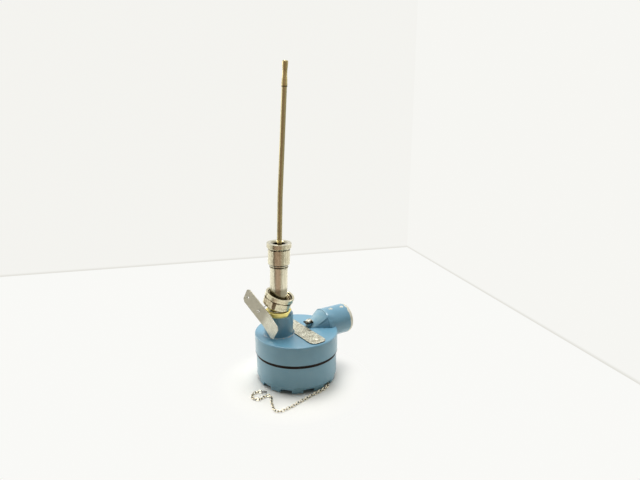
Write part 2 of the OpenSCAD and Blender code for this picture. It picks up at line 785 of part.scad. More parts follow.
module tag_wire() color(steel) {
    loop_r = pipe_r + wire_r + 0.45;
    twist_r = wire_r * 1.5;
    // The twisted part rises from the loop to the nut's lower face, which it props
    leave = 190;
    reach = 13;
    out = [cos(leave), sin(leave), 0];
    under_nut = nut_z + (reach * cos(leave - nut_turn - 180) - nut_shift) * tan(nut_tilt + stem_lean);
    start = [hub_x, hub_y, lock_z + wire_r] + loop_r * out;
    prop = [hub_x, hub_y, under_nut - twist_r - 0.5] + reach * out;
    behind = from_tag([tag_hole_s, 0, -tag_t / 2 - 2.5]);
    outside = from_tag([tag_hole_s, 0, tag_t / 2 + 1.65]);
    at_hub() translate([0, 0, lock_z + wire_r])
        rotate_extrude() translate([loop_r, 0]) circle(r = wire_r, $fn = 24);
    bar(start, prop, twist_r);
    translate(prop) sphere(r = twist_r * 1.02, $fn = 24);
    bar(prop, behind, twist_r);
    translate(behind) sphere(r = twist_r * 1.02, $fn = 24);
    bar(behind, outside, twist_r);
    translate(outside) sphere(r = tag_hole_r + 0.5, $fn = 24);
}

// Cover chain: oval links from the screw under the cover's face, out through a notch and along
// the floor to a loose end ring

chain_screw_r = 2;
chain_screw_l = 4;
chain_head_r = 3.6;
chain_head_h = 2.4;
chain_z = 1.3;
// The route on the floor, each point at the height chain_z unless it has its own
chain_route = [
    [6.3, -2.5, 4.2], [13, -5.5, 2.6], [20, -10], [27, -15], [33.5, -19.5], [38, -24],
    [39.2, -30.5], [35.6, -37], [30, -43.5], [22, -51], [15.5, -57.5], [9.5, -63.5],
    [3, -70.5], [-2, -76], [-7.5, -81], [-12.5, -84.8], [-17.5, -86.2], [-21.5, -83.5],
    [-23.4, -78.2], [-25, -72.5], [-26.4, -67.3], [-26.8, -62], [-27.2, -57.8], [-29.8, -54.5],
    [-34, -54.6], [-37.4, -58.2], [-41.3, -61.6], [-45.8, -61.4], [-49, -58.4], [-50.3, -54],
    [-49.2, -49.6], [-46, -46.4], [-41.5, -45.4], [-37.5, -46]];
chain_points = [for (p = chain_route) [p.x, p.y, len(p) > 2 ? p.z : chain_z]];

// A smooth curve through the route, as points a short step apart
function on_curve(p, i, u) =
    let (a = p[max(i - 1, 0)], b = p[i], c = p[i + 1], d = p[min(i + 2, len(p) - 1)])
    0.5 * (2 * b + (c - a) * u + (2 * a - 5 * b + 4 * c - d) * u * u + (3 * b - a - 3 * c + d) * u * u * u);
chain_line = [
    for (i = [0 : len(chain_points) - 2], u = [0 : 0.2 : 0.9]) on_curve(chain_points, i, u),
    chain_points[len(chain_points) - 1]];
chain_way = [for (i = 0, s = 0; i < len(chain_line);
    s = s + (i + 1 < len(chain_line) ? norm(chain_line[i + 1] - chain_line[i]) : 0), i = i + 1) s];
chain_length = chain_way[len(chain_way) - 1];
function chain_at(s) = [for (k = [0 : 2])
    lookup(s, [for (i = [0 : len(chain_line) - 1]) [chain_way[i], chain_line[i][k]]])];
link_count = floor(chain_length / link_pitch);

// An oval link about the origin, lying flat with its length along X
module link() {
    r = link_w / 2 - link_wire_r;
    straight = link_l - link_w;
    for (x = [-1, 1]) translate([x * straight / 2, 0, 0]) rotate([0, 0, -90 * x])
        rotate_extrude(angle = 180) translate([r, 0]) circle(r = link_wire_r, $fn = 16);
    for (y = [-1, 1]) translate([-straight / 2, y * r, 0]) rotate([0, 90, 0])
        cylinder(r = link_wire_r, h = straight, $fn = 16);
}

module cover_chain() color([0.55, 0.48, 0.36])
    for (i = [0 : link_count - 1]) {
        here = chain_at((i + 0.5) * link_pitch);
        d = chain_at((i + 1) * link_pitch) - chain_at(i * link_pitch);
        translate(here) rotate([0, atan2(-d.z, norm([d.x, d.y])), atan2(d.y, d.x)])
            rotate([i % 2 == 0 ? 45 : -45, 0, 0]) link();
    }

module chain_end_ring() color([0.62, 0.57, 0.45]) {
    last = chain_at(link_count * link_pitch);
    before = chain_at((link_count - 1) * link_pitch);
    d = unit(last - before);
    wire = 0.37;
    centre = last + d * (end_ring_r - 1);
    translate([centre.x, centre.y, chain_z]) rotate([0, 0, atan2(d.y, d.x)]) rotate([-14, 0, 0])
        rotate_extrude() translate([end_ring_r, 0]) circle(r = wire, $fn = 20);
}

// Tab under the chain's screw, with an eye that the first link runs through
module chain_eyelet() color(steel) {
    t = 0.8;
    eye_r = 1.5;
    eye_wire = 0.3;
    tab_r = 4.4;
    start = chain_points[0];
    eye_s = norm([start.x, start.y]) - 0.95;
    translate([0, 0, recess_h - t]) ring(tab_r, chain_screw_r + touch, t);
    rotate([0, 0, atan2(start.y, start.x)]) {
        translate([tab_r - 0.2, -1, recess_h - t]) cube([eye_s + 0.8 - tab_r, 2, t]);
        translate([eye_s, 0, start.z]) rotate([90, 0, 0])
            rotate_extrude() translate([eye_r, 0]) circle(r = eye_wire, $fn = 20);
    }
}

module chain_screw() color(steel)
    translate([0, 0, recess_h - 0.8]) {
        rotate([180, 0, 0]) slotted_head(chain_head_r, chain_head_h);
        translate([0, 0, -0.5]) cylinder(r = chain_screw_r, h = chain_screw_l + 1);
    }

cover();
cover_seal();
head_housing();
stem_hub();
lock_ring();
nipple();
union_tailpiece();
union_nut();
probe_sheath();
probe_core();
probe_tip();
sensing_element();
probe_collar();
probe_spring();
spring_seat();
stop_ring();
lead_sleeve();
lead_wires();
terminal_block();
terminal_clamps();
terminal_screws();
block_screws();
name_plate();
name_plate_screws();
ground_screw();
ground_clamp();
tag_plate();
tag_wire();
cover_chain();
chain_end_ring();
chain_screw();
chain_eyelet();
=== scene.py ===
from math import atan2, cos, hypot, pi, radians, sin

import bpy
from mathutils import Matrix, Vector


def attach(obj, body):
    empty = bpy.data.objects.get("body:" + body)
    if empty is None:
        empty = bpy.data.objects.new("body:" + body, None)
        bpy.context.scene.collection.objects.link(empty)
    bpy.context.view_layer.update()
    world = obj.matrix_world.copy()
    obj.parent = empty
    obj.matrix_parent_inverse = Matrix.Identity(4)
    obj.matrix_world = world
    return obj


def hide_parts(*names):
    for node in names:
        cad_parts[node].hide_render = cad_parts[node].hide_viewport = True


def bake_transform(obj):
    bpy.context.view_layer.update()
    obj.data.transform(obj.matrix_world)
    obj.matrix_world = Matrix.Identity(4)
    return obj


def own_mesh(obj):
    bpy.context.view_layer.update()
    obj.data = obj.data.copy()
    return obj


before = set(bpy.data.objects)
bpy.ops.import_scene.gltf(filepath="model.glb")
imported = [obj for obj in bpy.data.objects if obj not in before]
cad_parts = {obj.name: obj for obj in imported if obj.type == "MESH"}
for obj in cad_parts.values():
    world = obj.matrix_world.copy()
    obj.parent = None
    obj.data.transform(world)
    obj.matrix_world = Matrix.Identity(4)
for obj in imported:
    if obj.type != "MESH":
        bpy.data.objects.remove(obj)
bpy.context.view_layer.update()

MM = 0.001

# Camera: a normal lens, a little above the probe's tip and tilted down at the head. Its place
# comes from fitting the round edges of the head, the cover, the nut and the flange.

CAMERA_PLACE = (29.6 * MM, -592.3 * MM, 328.0 * MM)
CAMERA_TILT_DOWN = 14.325
CAMERA_LENS = 28.756

camera_data = bpy.data.cameras.new("camera")
camera_data.sensor_fit = "HORIZONTAL"
camera_data.sensor_width = 36
camera_data.lens = CAMERA_LENS
camera_data.clip_start = 0.01
camera = bpy.data.objects.new("camera", camera_data)
camera.location = CAMERA_PLACE
camera.rotation_euler = (radians(90 - CAMERA_TILT_DOWN), 0, 0)
bpy.context.scene.collection.objects.link(camera)
bpy.context.scene.camera = camera
bpy.context.scene.view_settings.view_transform = "Standard"

# Booth: two pale card walls that meet behind the object, on a white floor. The floor is lit near
# the object, so that it keeps the shadow, and runs into an even white further out.

BOOTH_CORNER = Vector((244, 622, 0))
BOOTH_LEFT, BOOTH_RIGHT = Vector((-617, 390, 0)), Vector((423, -28, 0))
WALL_HEIGHT, WALL_STRETCH = 1300, 1.6
FLOOR_Z, FLOOR_CORNERS = -0.0003, ((-1.6, -0.26), (0.7, -0.26), (0.7, 1.1), (-1.6, 1.1))
SHADOW_MIDDLE, SHADOW_FROM, SHADOW_TO = (-0.005, -0.018, 0), 0.045, 0.1


def new_object(name, points, faces, smooth=True):
    """A mesh object from points in metres and faces, in the row frame."""
    mesh = bpy.data.meshes.new(name)
    mesh.from_pydata([tuple(p) for p in points], [], faces)
    mesh.validate()
    for face in mesh.polygons:
        face.use_smooth = smooth
    made = bpy.data.objects.new(name, mesh)
    bpy.context.scene.collection.objects.link(made)
    return made


def feed(node, values):
    """Feeds a node's inputs, by name or number, with sockets or values. Colours get an alpha."""
    for key, value in values.items():
        socket = node.inputs[key]
        if isinstance(value, bpy.types.NodeSocket):
            node.id_data.links.new(value, socket)
        else:
            socket.default_value = (*value, 1) if socket.type == "RGBA" else value


def add_node(tree, kind, values=(), **settings):
    """A shader node with its settings, and with its inputs fed."""
    node = tree.nodes.new(kind)
    for key, value in settings.items():
        setattr(node, key, value)
    feed(node, dict(values))
    return node


def start_material(name):
    """A material with its node tree and its Principled shader."""
    material = bpy.data.materials.new(name)
    material.use_nodes = True
    return material, material.node_tree, material.node_tree.nodes["Principled BSDF"]


def object_place(tree):
    """The point's place on the object, whole and as its X, Y and Z."""
    place = add_node(tree, "ShaderNodeTexCoord").outputs["Object"]
    return place, add_node(tree, "ShaderNodeSeparateXYZ", {0: place}).outputs


def distance_from(tree, place, point):
    """The distance of a place from a point."""
    return add_node(tree, "ShaderNodeVectorMath", {0: place, 1: point},
                    operation="DISTANCE").outputs["Value"]


def spread(tree, value, low, high, to_low=0.0, to_high=1.0):
    """Runs smoothly from to_low to to_high while the given value runs from low to high."""
    return add_node(tree, "ShaderNodeMapRange", {
        "Value": value, "From Min": low, "From Max": high, "To Min": to_low, "To Max": to_high},
        interpolation_type="SMOOTHSTEP").outputs["Result"]


def calculate(tree, operation, *values):
    """A Math node fed by sockets or numbers."""
    return add_node(tree, "ShaderNodeMath", enumerate(values), operation=operation).outputs[0]


floor = new_object("floor", [(x, y, FLOOR_Z) for x, y in FLOOR_CORNERS], [(0, 1, 2, 3)])
paper, tree, shader = start_material("white_floor")
feed(shader, {"Base Color": (0.88, 0.873, 0.825), "Roughness": 0.75, "Specular IOR Level": 0.2})
far_white = add_node(tree, "ShaderNodeEmission", {"Color": (0.95, 0.95, 0.925), "Strength": 1.0})
fade = spread(tree, distance_from(tree, object_place(tree)[0], SHADOW_MIDDLE),
              SHADOW_FROM, SHADOW_TO)
rays = add_node(tree, "ShaderNodeLightPath").outputs
seen = calculate(tree, "MULTIPLY", fade, rays["Is Camera Ray"])
blend = add_node(tree, "ShaderNodeMixShader", {
    "Fac": seen, 1: shader.outputs[0], 2: far_white.outputs[0]})
feed(tree.nodes["Material Output"], {"Surface": blend.outputs[0]})
floor.data.materials.append(paper)


def mix(tree, factor, a, b):
    """A mix of two colours, each a tuple or a socket, by a value or a socket."""
    return add_node(tree, "ShaderNodeMix", {"Factor": factor, "A": a, "B": b},
                    data_type="RGBA").outputs["Result"]


def card_material(name, colour):
    """Pale card that is seen only from the inside of the booth, with painted shade along its foot.
    """
    card, tree, shader = start_material(name)
    tree.nodes.remove(shader)
    # Painted shade along the foot, where the card meets the floor
    foot = spread(tree, object_place(tree)[1]["Z"], 0.0, 0.006)
    paint = add_node(tree, "ShaderNodeEmission", {
        "Color": mix(tree, foot, (0.76, 0.75, 0.7), colour), "Strength": 1.0})
    see_through = add_node(tree, "ShaderNodeBsdfTransparent")
    outside = add_node(tree, "ShaderNodeNewGeometry").outputs["Backfacing"]
    one_side = add_node(tree, "ShaderNodeMixShader", {
        "Fac": outside, 1: paint.outputs[0], 2: see_through.outputs[0]})
    feed(tree.nodes["Material Output"], {"Surface": one_side.outputs[0]})
    return card


for name, end, colour in (("wall_left", BOOTH_LEFT, (0.905, 0.9, 0.866)),
                          ("wall_right", BOOTH_RIGHT, (0.925, 0.922, 0.89))):
    far = BOOTH_CORNER + (end - BOOTH_CORNER) * WALL_STRETCH
    foot = [BOOTH_CORNER, far] if end == BOOTH_RIGHT else [far, BOOTH_CORNER]
    top = [p + Vector((0, 0, WALL_HEIGHT)) for p in foot]
    wall = new_object(name, [p * MM for p in foot + top], [(0, 1, 3, 2)])
    wall.data.materials.append(card_material(name + "_card", colour))
    for ray in ("visible_diffuse", "visible_glossy", "visible_transmission", "visible_shadow"):
        setattr(wall, ray, False)

# Light: a pale room, darker and warmer behind the camera, so that round metal shows a core. One
# broad lamp above and one from each side.

ROOM_BANDS = ((-180, (1.0, 1.0, 0.97)), (-64, (0.92, 0.91, 0.86)), (-54, (0.2, 0.16, 0.11)),
              (-42, (0.22, 0.17, 0.12)), (-34, (0.54, 0.4, 0.33)), (20, (0.48, 0.36, 0.28)),
              (38, (0.6, 0.58, 0.5)), (110, (0.62, 0.61, 0.56)), (180, (1.0, 1.0, 0.97)))
# The name, place, height of aim, size and power of each lamp
LAMPS = (("lamp_above", (-0.1, 0.22, 1.45), 0.05, 0.7, 17),
         ("lamp_left", (-1.3, 0.6, 0.6), 0.1, 0.9, 6.5),
         ("lamp_right", (1.3, 0.7, 0.8), 0.15, 0.9, 4.0))

world = bpy.data.worlds.new("pale_room")
bpy.context.scene.world = world
world.use_nodes = True
tree = world.node_tree
tree.nodes.clear()
rays = add_node(tree, "ShaderNodeLightPath").outputs
way = add_node(tree, "ShaderNodeTexCoord").outputs["Generated"]
parts = add_node(tree, "ShaderNodeSeparateXYZ", {0: way}).outputs
# The light on matt surfaces: even, and weaker from behind the camera
behind_camera = spread(tree, parts["Y"], 0.3, -0.5)
room_light = add_node(tree, "ShaderNodeBackground", {
    "Color": mix(tree, behind_camera, (1.0, 0.985, 0.96), (0.16, 0.145, 0.13)),
    "Strength": spread(tree, parts["Z"], 0.0, 0.8, 0.5, 0.68)})
# What metal mirrors: the white booth, and the bands of the room behind the camera
turn = calculate(tree, "ARCTAN2", parts["X"], calculate(tree, "MULTIPLY", parts["Y"], -1))
around = add_node(tree, "ShaderNodeMapRange", {"Value": turn, "From Min": -pi, "From Max": pi})
ramp = add_node(tree, "ShaderNodeValToRGB", {"Fac": around.outputs["Result"]})
bands = ramp.color_ramp
while len(bands.elements) < len(ROOM_BANDS):
    bands.elements.new(0.5)
for stop, (angle, colour) in zip(bands.elements, ROOM_BANDS):
    stop.position = (angle + 180) / 360
    stop.color = (*colour, 1)
low = spread(tree, parts["Z"], 0.12, 0.5, 1.0, 0.0)
mirrored = mix(tree, low, (1, 1, 1), ramp.outputs["Color"])
white_light = add_node(tree, "ShaderNodeBackground", {
    "Color": mix(tree, rays["Is Camera Ray"], mirrored, (0.93, 0.93, 0.91)), "Strength": 1.0})
either = rays["Is Camera Ray"]
for kind in ("Is Glossy Ray", "Is Transmission Ray"):
    either = calculate(tree, "MAXIMUM", either, rays[kind])
choose = add_node(tree, "ShaderNodeMixShader", {
    "Fac": either, 1: room_light.outputs[0], 2: white_light.outputs[0]})
add_node(tree, "ShaderNodeOutputWorld", {"Surface": choose.outputs[0]})

for name, place, aim_z, size, power in LAMPS:
    data = bpy.data.lights.new(name, "AREA")
    data.shape = "SQUARE"
    data.size = size
    data.energy = power
    lamp = bpy.data.objects.new(name, data)
    lamp.location = place
    aim = Vector((0, 0, aim_z)) - Vector(place)
    lamp.rotation_euler = aim.to_track_quat("-Z", "Y").to_euler()
    bpy.context.scene.collection.objects.link(lamp)

# Cover: a cast cap in grey-blue baked enamel with a faint orange peel, turned for its thread and
# its seal. The enamel is worn to bare metal in patches along the notched rim.

SEAM_Z, SEAM_DARK_BELOW, SEAM_DARK_ABOVE = 35.5, 1.9, 2.0
UPPER_TINT_FROM_Z, UPPER_TINT_TO_Z = 57.5, 60.5
RIM_WORN_TO_Z, RIM_WORN_FULL_Z = 1.4, 0.2


def blotches_group():
    """Soft uneven patches, from 0 to 1: tarnish, smudges, faded paint."""
    group = bpy.data.node_groups.new("blotches", "ShaderNodeTree")
    group.interface.new_socket("Vector", in_out="INPUT", socket_type="NodeSocketVector")
    for name, value in (("Scale", 60.0), ("Detail", 4.0), ("Low", 0.35), ("High", 0.65)):
        socket = group.interface.new_socket(name, in_out="INPUT", socket_type="NodeSocketFloat")
        socket.default_value = value
    group.interface.new_socket("Mask", in_out="OUTPUT", socket_type="NodeSocketFloat")
    given = group.nodes.new("NodeGroupInput").outputs
    cloud = add_node(group, "ShaderNodeTexNoise", {
        name: given[name] for name in ("Vector", "Scale", "Detail")}).outputs["Fac"]
    feed(group.nodes.new("NodeGroupOutput"), {
        "Mask": spread(group, cloud, given["Low"], given["High"])})
    return group


BLOTCHES = blotches_group()


def blotches(tree, place, **values):
    """The mask of the blotches in a material, with its own values."""
    return add_node(tree, "ShaderNodeGroup", {"Vector": place, **values},
                    node_tree=BLOTCHES).outputs["Mask"]


def noise(tree, place, scale, detail):
    """Plain noise, for ragged edges and fine grain."""
    return add_node(tree, "ShaderNodeTexNoise", {
        "Vector": place, "Scale": scale, "Detail": detail}).outputs["Fac"]


def between(tree, mask, low, high):
    """Low where a mask is 0, and high where it is 1."""
    return spread(tree, mask, 0, 1, low, high)


def spread_mm(tree, length, low, high, to_low=0.0, to_high=1.0):
    """The same as spread, for a length, with low and high in millimetres."""
    return spread(tree, length, low * MM, high * MM, to_low, to_high)


def all_of(tree, mask, *others):
    """The product of masks."""
    for other in others:
        mask = calculate(tree, "MULTIPLY", mask, other)
    return mask


def band(tree, length, low, high, soft=0.3):
    """1 between two lengths, with soft ends, in millimetres."""
    return all_of(tree, spread_mm(tree, length, low - soft, low),
                  spread_mm(tree, length, high + soft, high))


def add_bump(tree, shader, height, strength, distance):
    """A bump under the shader's normal."""
    bump = add_node(tree, "ShaderNodeBump", {
        "Strength": strength, "Distance": distance, "Height": height})
    feed(shader, {"Normal": bump.outputs["Normal"]})


def dress(node_name, material):
    """Gives a CAD node its material."""
    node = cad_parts[node_name]
    node.data.materials.clear()
    node.data.materials.append(material)
    for face in node.data.polygons:
        face.material_index = 0


def enamel_material(name, chips, upper_blue=(0.14, 0.33, 0.45), worn=(0.66, 0.64, 0.52)):
    """Blue enamel, bluer on top as painted light and cleaner; painted shade and grease at the seam.
    chips(tree, place, parts) gives the mask of the worn places."""
    material, tree, shader = start_material(name)
    place, parts = object_place(tree)
    fade = blotches(tree, place, Scale=38, Low=0.3, High=0.7)
    blue = mix(tree, fade, (0.14, 0.325, 0.43), (0.165, 0.35, 0.45))
    # The upper faces take a bluer tone: partly painted light from above, partly cleaner paint
    blue = mix(tree, spread_mm(tree, parts["Z"], UPPER_TINT_FROM_Z, UPPER_TINT_TO_Z), blue, upper_blue)
    dust = blotches(tree, place, Scale=420, Low=0.55, High=0.75)
    blue = mix(tree, between(tree, dust, 0, 0.18), blue, (0.32, 0.4, 0.42))
    # Painted shade in the seam between the cover and the head, with black grease in it
    seam_shade_and_grease = band(tree, parts["Z"], SEAM_Z - SEAM_DARK_BELOW, SEAM_Z + SEAM_DARK_ABOVE)
    blue = mix(tree, seam_shade_and_grease, blue, (0.014, 0.009, 0.006))
    bare = chips(tree, place, parts)
    rough = calculate(tree, "MAXIMUM", between(tree, fade, 0.3, 0.42),
                      between(tree, seam_shade_and_grease, 0, 0.8))
    feed(shader, {"Base Color": mix(tree, bare, blue, worn), "Roughness": rough,
                  "Metallic": between(tree, bare, 0, 0.3),
                  "Coat Weight": between(tree, seam_shade_and_grease, 0.5, 0.0), "Coat Roughness": 0.18})
    add_bump(tree, shader, noise(tree, place, 700, 1), 0.12, 0.0002)
    return material


def cover_chips(tree, place, parts):
    """Worn in patches along the notched rim."""
    patches = blotches(tree, place, Scale=260, Low=0.45, High=0.58)
    return all_of(tree, patches, spread_mm(tree, parts["Z"], RIM_WORN_TO_Z, RIM_WORN_FULL_Z))


dress("cover", enamel_material("cover_enamel", cover_chips))

THREAD_STEPS = 48


def thread_ridge(name, place, radius, pitch, start, length, depth):
    """The ridge of a screw thread on a round wall, about the Z axis of a frame. It swells and ends
    over half a turn. A positive depth points inwards, as in a bored hole. All in millimetres."""
    steps = int(length / pitch * THREAD_STEPS)
    root = radius + (0.1 if depth > 0 else -0.1)
    points = []
    for i in range(steps + 1):
        a, z = 2 * pi * i / THREAD_STEPS, start + pitch * i / THREAD_STEPS
        crest = radius - depth * min(1, 2 * i / THREAD_STEPS, 2 * (steps - i) / THREAD_STEPS)
        for r, lift in ((root, -0.44), (crest, -0.08), (crest, 0.08), (root, 0.44)):
            points.append(place @ Vector((r * cos(a), r * sin(a), z + lift * pitch)) * MM)
    faces = [(4 * i + k, 4 * i + 4 + k, 4 * i + 4 + (k + 1) % 4, 4 * i + (k + 1) % 4)
             for i in range(steps) for k in range(4)]
    faces += [(3, 2, 1, 0), tuple(4 * steps + k for k in range(4))]
    return new_object(name, points, faces, smooth=False)


def metal_material(name, bright, dull, roughness, scale, grain=0.15):
    """Bare or plated metal: two tones in blotches, and a fine grain."""
    material, tree, shader = start_material(name)
    place = object_place(tree)[0]
    tarnish = blotches(tree, place, Scale=scale, Low=0.38, High=0.68)
    feed(shader, {"Base Color": mix(tree, tarnish, bright, dull), "Metallic": 1.0,
                  "Roughness": between(tree, tarnish, roughness * 0.85, roughness * 1.3)})
    add_bump(tree, shader, noise(tree, place, 2600, 2), grain, 0.00005)
    return material


bare_casting = metal_material("turned_casting", (0.7, 0.7, 0.68), (0.5, 0.5, 0.48), 0.35, 200)
cover_thread = thread_ridge("cover_thread", Matrix.Identity(4), radius=43.5, pitch=2.5,
                            start=36.6, length=7.4, depth=-0.2)
cover_thread.data.materials.append(bare_casting)
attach(cover_thread, "cover_body")

# Cover seal: a round ring of black rubber with a faint bloom. It is squeezed between a groove of
# the cover and one of the head, and is hardly to be seen in the seam.


def plain_material(name, first, second, scale, roughness):
    """A material that is no metal: two tones in soft patches."""
    material, tree, shader = start_material(name)
    cloudy = blotches(tree, object_place(tree)[0], Scale=scale)
    feed(shader, {"Base Color": mix(tree, cloudy, first, second), "Roughness": roughness})
    return material


rubber = plain_material("seal_rubber", (0.018, 0.018, 0.018), (0.04, 0.04, 0.038), 200, 0.55)
dress("cover_seal", rubber)

# Cover chain: a thin oval-link chain of tarnished plated wire. Its first link runs through the
# eye under the cover, it lies in loose curves on the floor, and it ends in a small ring.

CHAIN_HEIGHT, CURVE_STEPS = 1.4, 5
CHAIN_ROUTE = [
    (6.3, -2.5, 4.2), (13, -5.5, 2.6), (20, -10), (27, -15), (33.5, -19.5), (38, -24),
    (39.2, -30.5), (35.6, -37), (30, -43.5), (22, -51), (15.5, -57.5), (9.5, -63.5),
    (3, -70.5), (-2, -76), (-7.5, -81), (-12.5, -84.8), (-17.5, -86.2), (-21.5, -83.5),
    (-23.4, -78.2), (-25, -72.5), (-26.4, -67.3), (-26.8, -62), (-27.2, -57.8), (-29.8, -54.5),
    (-34, -54.6), (-37.4, -58.2), (-41.3, -61.6), (-45.8, -61.4), (-49, -58.4), (-50.3, -54),
    (-49.2, -49.6), (-46, -46.4), (-41.5, -45.4), (-37.5, -46)]
LINK_WIRE, LINK_LENGTH, LINK_WIDTH, LINK_PITCH, LINK_SIDES = 0.42, 5.4, 3.3, 3.6, 10
LINK_END_STEPS, LINK_WELD, LINK_ROLL = 8, 1.1, 45
# The rings of half a link that stay pale; the rest, round its end, is dark: painted shade
# where the next link hangs through it, and rubbing
PALE_RINGS = (0, 1, 7, 8, 9)


def chain_curve():
    """Points a short step apart on a smooth curve through the route, in millimetres."""
    route = [Vector((*p, CHAIN_HEIGHT)[:3]) for p in CHAIN_ROUTE]
    line = []
    for i in range(len(route) - 1):
        a, b, c = route[max(i - 1, 0)], route[i], route[i + 1]
        d = route[min(i + 2, len(route) - 1)]
        for u in (step / CURVE_STEPS for step in range(CURVE_STEPS)):
            line.append(0.5 * (2 * b + (c - a) * u + (2 * a - 5 * b + 4 * c - d) * u ** 2
                               + (3 * b - a - 3 * c + d) * u ** 3))
    return line + [route[-1]]


def chain_point(line, ways, way):
    """The point at a distance along the chain."""
    i = 0
    while i < len(ways) - 2 and ways[i + 1] < way:
        i += 1
    return line[i].lerp(line[i + 1], (way - ways[i]) / (ways[i + 1] - ways[i]))


def link_points():
    """The rings of one oval link about the origin, lying flat along X, with a welded side."""
    bend = LINK_WIDTH / 2 - LINK_WIRE
    straight = (LINK_LENGTH - LINK_WIDTH) / 2
    middle = []
    for end in (1, -1):
        for step in range(LINK_END_STEPS + 1):
            turn = radians(-90 + 180 * step / LINK_END_STEPS) + (0 if end > 0 else pi)
            middle.append(Vector((end * straight + bend * cos(turn), bend * sin(turn), 0)))
        middle.append(Vector((0, end * bend, 0)))
    rings = []
    for i, point in enumerate(middle):
        along = (middle[(i + 1) % len(middle)] - middle[i - 1]).normalized()
        out_way = Vector((along.y, -along.x, 0))
        radius = LINK_WIRE * (LINK_WELD if i == len(middle) - 1 else 1.0)
        rings.append([point + radius * (cos(a) * out_way + sin(a) * Vector((0, 0, 1)))
                      for a in (2 * pi * k / LINK_SIDES for k in range(LINK_SIDES))])
    return rings


def loop_faces(first, rings, sides):
    """Faces round a closed ring of rings."""
    return [(first + i * sides + k, first + (i + 1) % rings * sides + k,
             first + (i + 1) % rings * sides + (k + 1) % sides, first + i * sides + (k + 1) % sides)
            for i in range(rings) for k in range(sides)]


chain_line = chain_curve()
chain_ways = [0.0]
for here, there in zip(chain_line, chain_line[1:]):
    chain_ways.append(chain_ways[-1] + (there - here).length)
link_rings = link_points()
points, faces = [], []
for i in range(int(chain_ways[-1] // LINK_PITCH)):
    start, here, end = (chain_point(chain_line, chain_ways, (i + part) * LINK_PITCH)
                        for part in (0, 0.5, 1))
    way = end - start
    turn = (Matrix.Rotation(atan2(way.y, way.x), 3, "Z")
            @ Matrix.Rotation(atan2(-way.z, hypot(way.x, way.y)), 3, "Y")
            @ Matrix.Rotation(radians(LINK_ROLL if i % 2 == 0 else -LINK_ROLL), 3, "X"))
    faces += loop_faces(len(points), len(link_rings), LINK_SIDES)
    points += [(here + turn @ p) * MM for ring in link_rings for p in ring]
chain = new_object("chain_links", points, faces)
chain_metal = metal_material("chain_metal", (0.95, 0.87, 0.66), (0.85, 0.75, 0.52), 0.35, 500)
# Painted shade for the ends of the links; the end ring is dark all over
dark_chain_metal = metal_material("chain_dark_ends", (0.06, 0.045, 0.03), (0.02, 0.016, 0.012), 0.5, 500)
chain.data.materials.append(chain_metal)
chain.data.materials.append(dark_chain_metal)
for face in chain.data.polygons:
    ring = face.index // LINK_SIDES % (len(link_rings) // 2)
    face.material_index = 0 if ring in PALE_RINGS else 1
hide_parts("cover_chain")
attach(chain, "cover_body")
dress("chain_end_ring", dark_chain_metal)

# Chain screw and eyelet: a bright steel screw in the middle of the cover's face, and the tab with
# an eye that it clamps.

bright_steel = metal_material("bright_steel", (0.66, 0.65, 0.6), (0.48, 0.46, 0.42), 0.3, 200)
dress("chain_screw", bright_steel)
dress("chain_eyelet", bright_steel)

# Head: the cast housing with its conduit entry and ground lug, in the cover's enamel. It is bare
# on the turned lip of the entry and in a few chips on the barrel's crest. The hood's crown is
# painted paler in patches down to its edge, which climbs along the entry: painted light where
# the light from above falls on it.

CONDUIT_TURN, CONDUIT_Z, CONDUIT_REACH, FLAT_FACE_Z = 33.5, 60.2, 73.3, 60.7
CONDUIT_WAY = (cos(radians(CONDUIT_TURN)), sin(radians(CONDUIT_TURN)), 0)
HEAD_CHIPS = [((37.0, 25.5, 78.9), 0.9), ((41.5, 24.0, 78.2), 1.4), ((43.8, 25.2, 78.3), 2.1),
              ((57.6, 33.2, 77.4), 2.6), ((55.8, 32.0, 78.0), 1.4), ((62.5, 33.0, 75.5), 2.0)]
CROWN_LIGHT_CLIMB, CROWN_LIGHT_FROM_Z, CROWN_LIGHT_FULL_Z = 0.88, FLAT_FACE_Z - 20.6, FLAT_FACE_Z - 19.2
CROWN_LIGHT_END, CROWN_LIGHT_FULL_END = 43, 38


def distance_along(tree, place, way):
    """The distance of a place along a direction."""
    return add_node(tree, "ShaderNodeVectorMath", {0: place, 1: way},
                    operation="DOT_PRODUCT").outputs["Value"]


def head_chips(tree, place, parts):
    """Bare on the conduit lip, and in a few chips on the barrel's crest."""
    along = distance_along(tree, place, CONDUIT_WAY)
    along = calculate(tree, "MULTIPLY_ADD", noise(tree, place, 180, 2), 0.004, along)
    bare = spread_mm(tree, along, CONDUIT_REACH - 0.4, CONDUIT_REACH + 0.1)
    ragged = noise(tree, place, 900, 3)
    for spot, size in HEAD_CHIPS:
        reach = distance_from(tree, place, [v * MM for v in spot])
        uneven = calculate(tree, "MULTIPLY_ADD", ragged, 0.003, reach)
        bare = calculate(tree, "MAXIMUM", bare, spread_mm(tree, uneven, size + 1.6, size + 1.2))
    return bare


def reopen(material):
    """A finished material's tree, its shader and the socket that feeds its colour."""
    shader = material.node_tree.nodes["Principled BSDF"]
    return material.node_tree, shader, shader.inputs["Base Color"].links[0].from_socket


head_enamel = enamel_material("head_enamel", head_chips)
tree, shader, blue = reopen(head_enamel)
place, parts = object_place(tree)
along = distance_along(tree, place, CONDUIT_WAY)
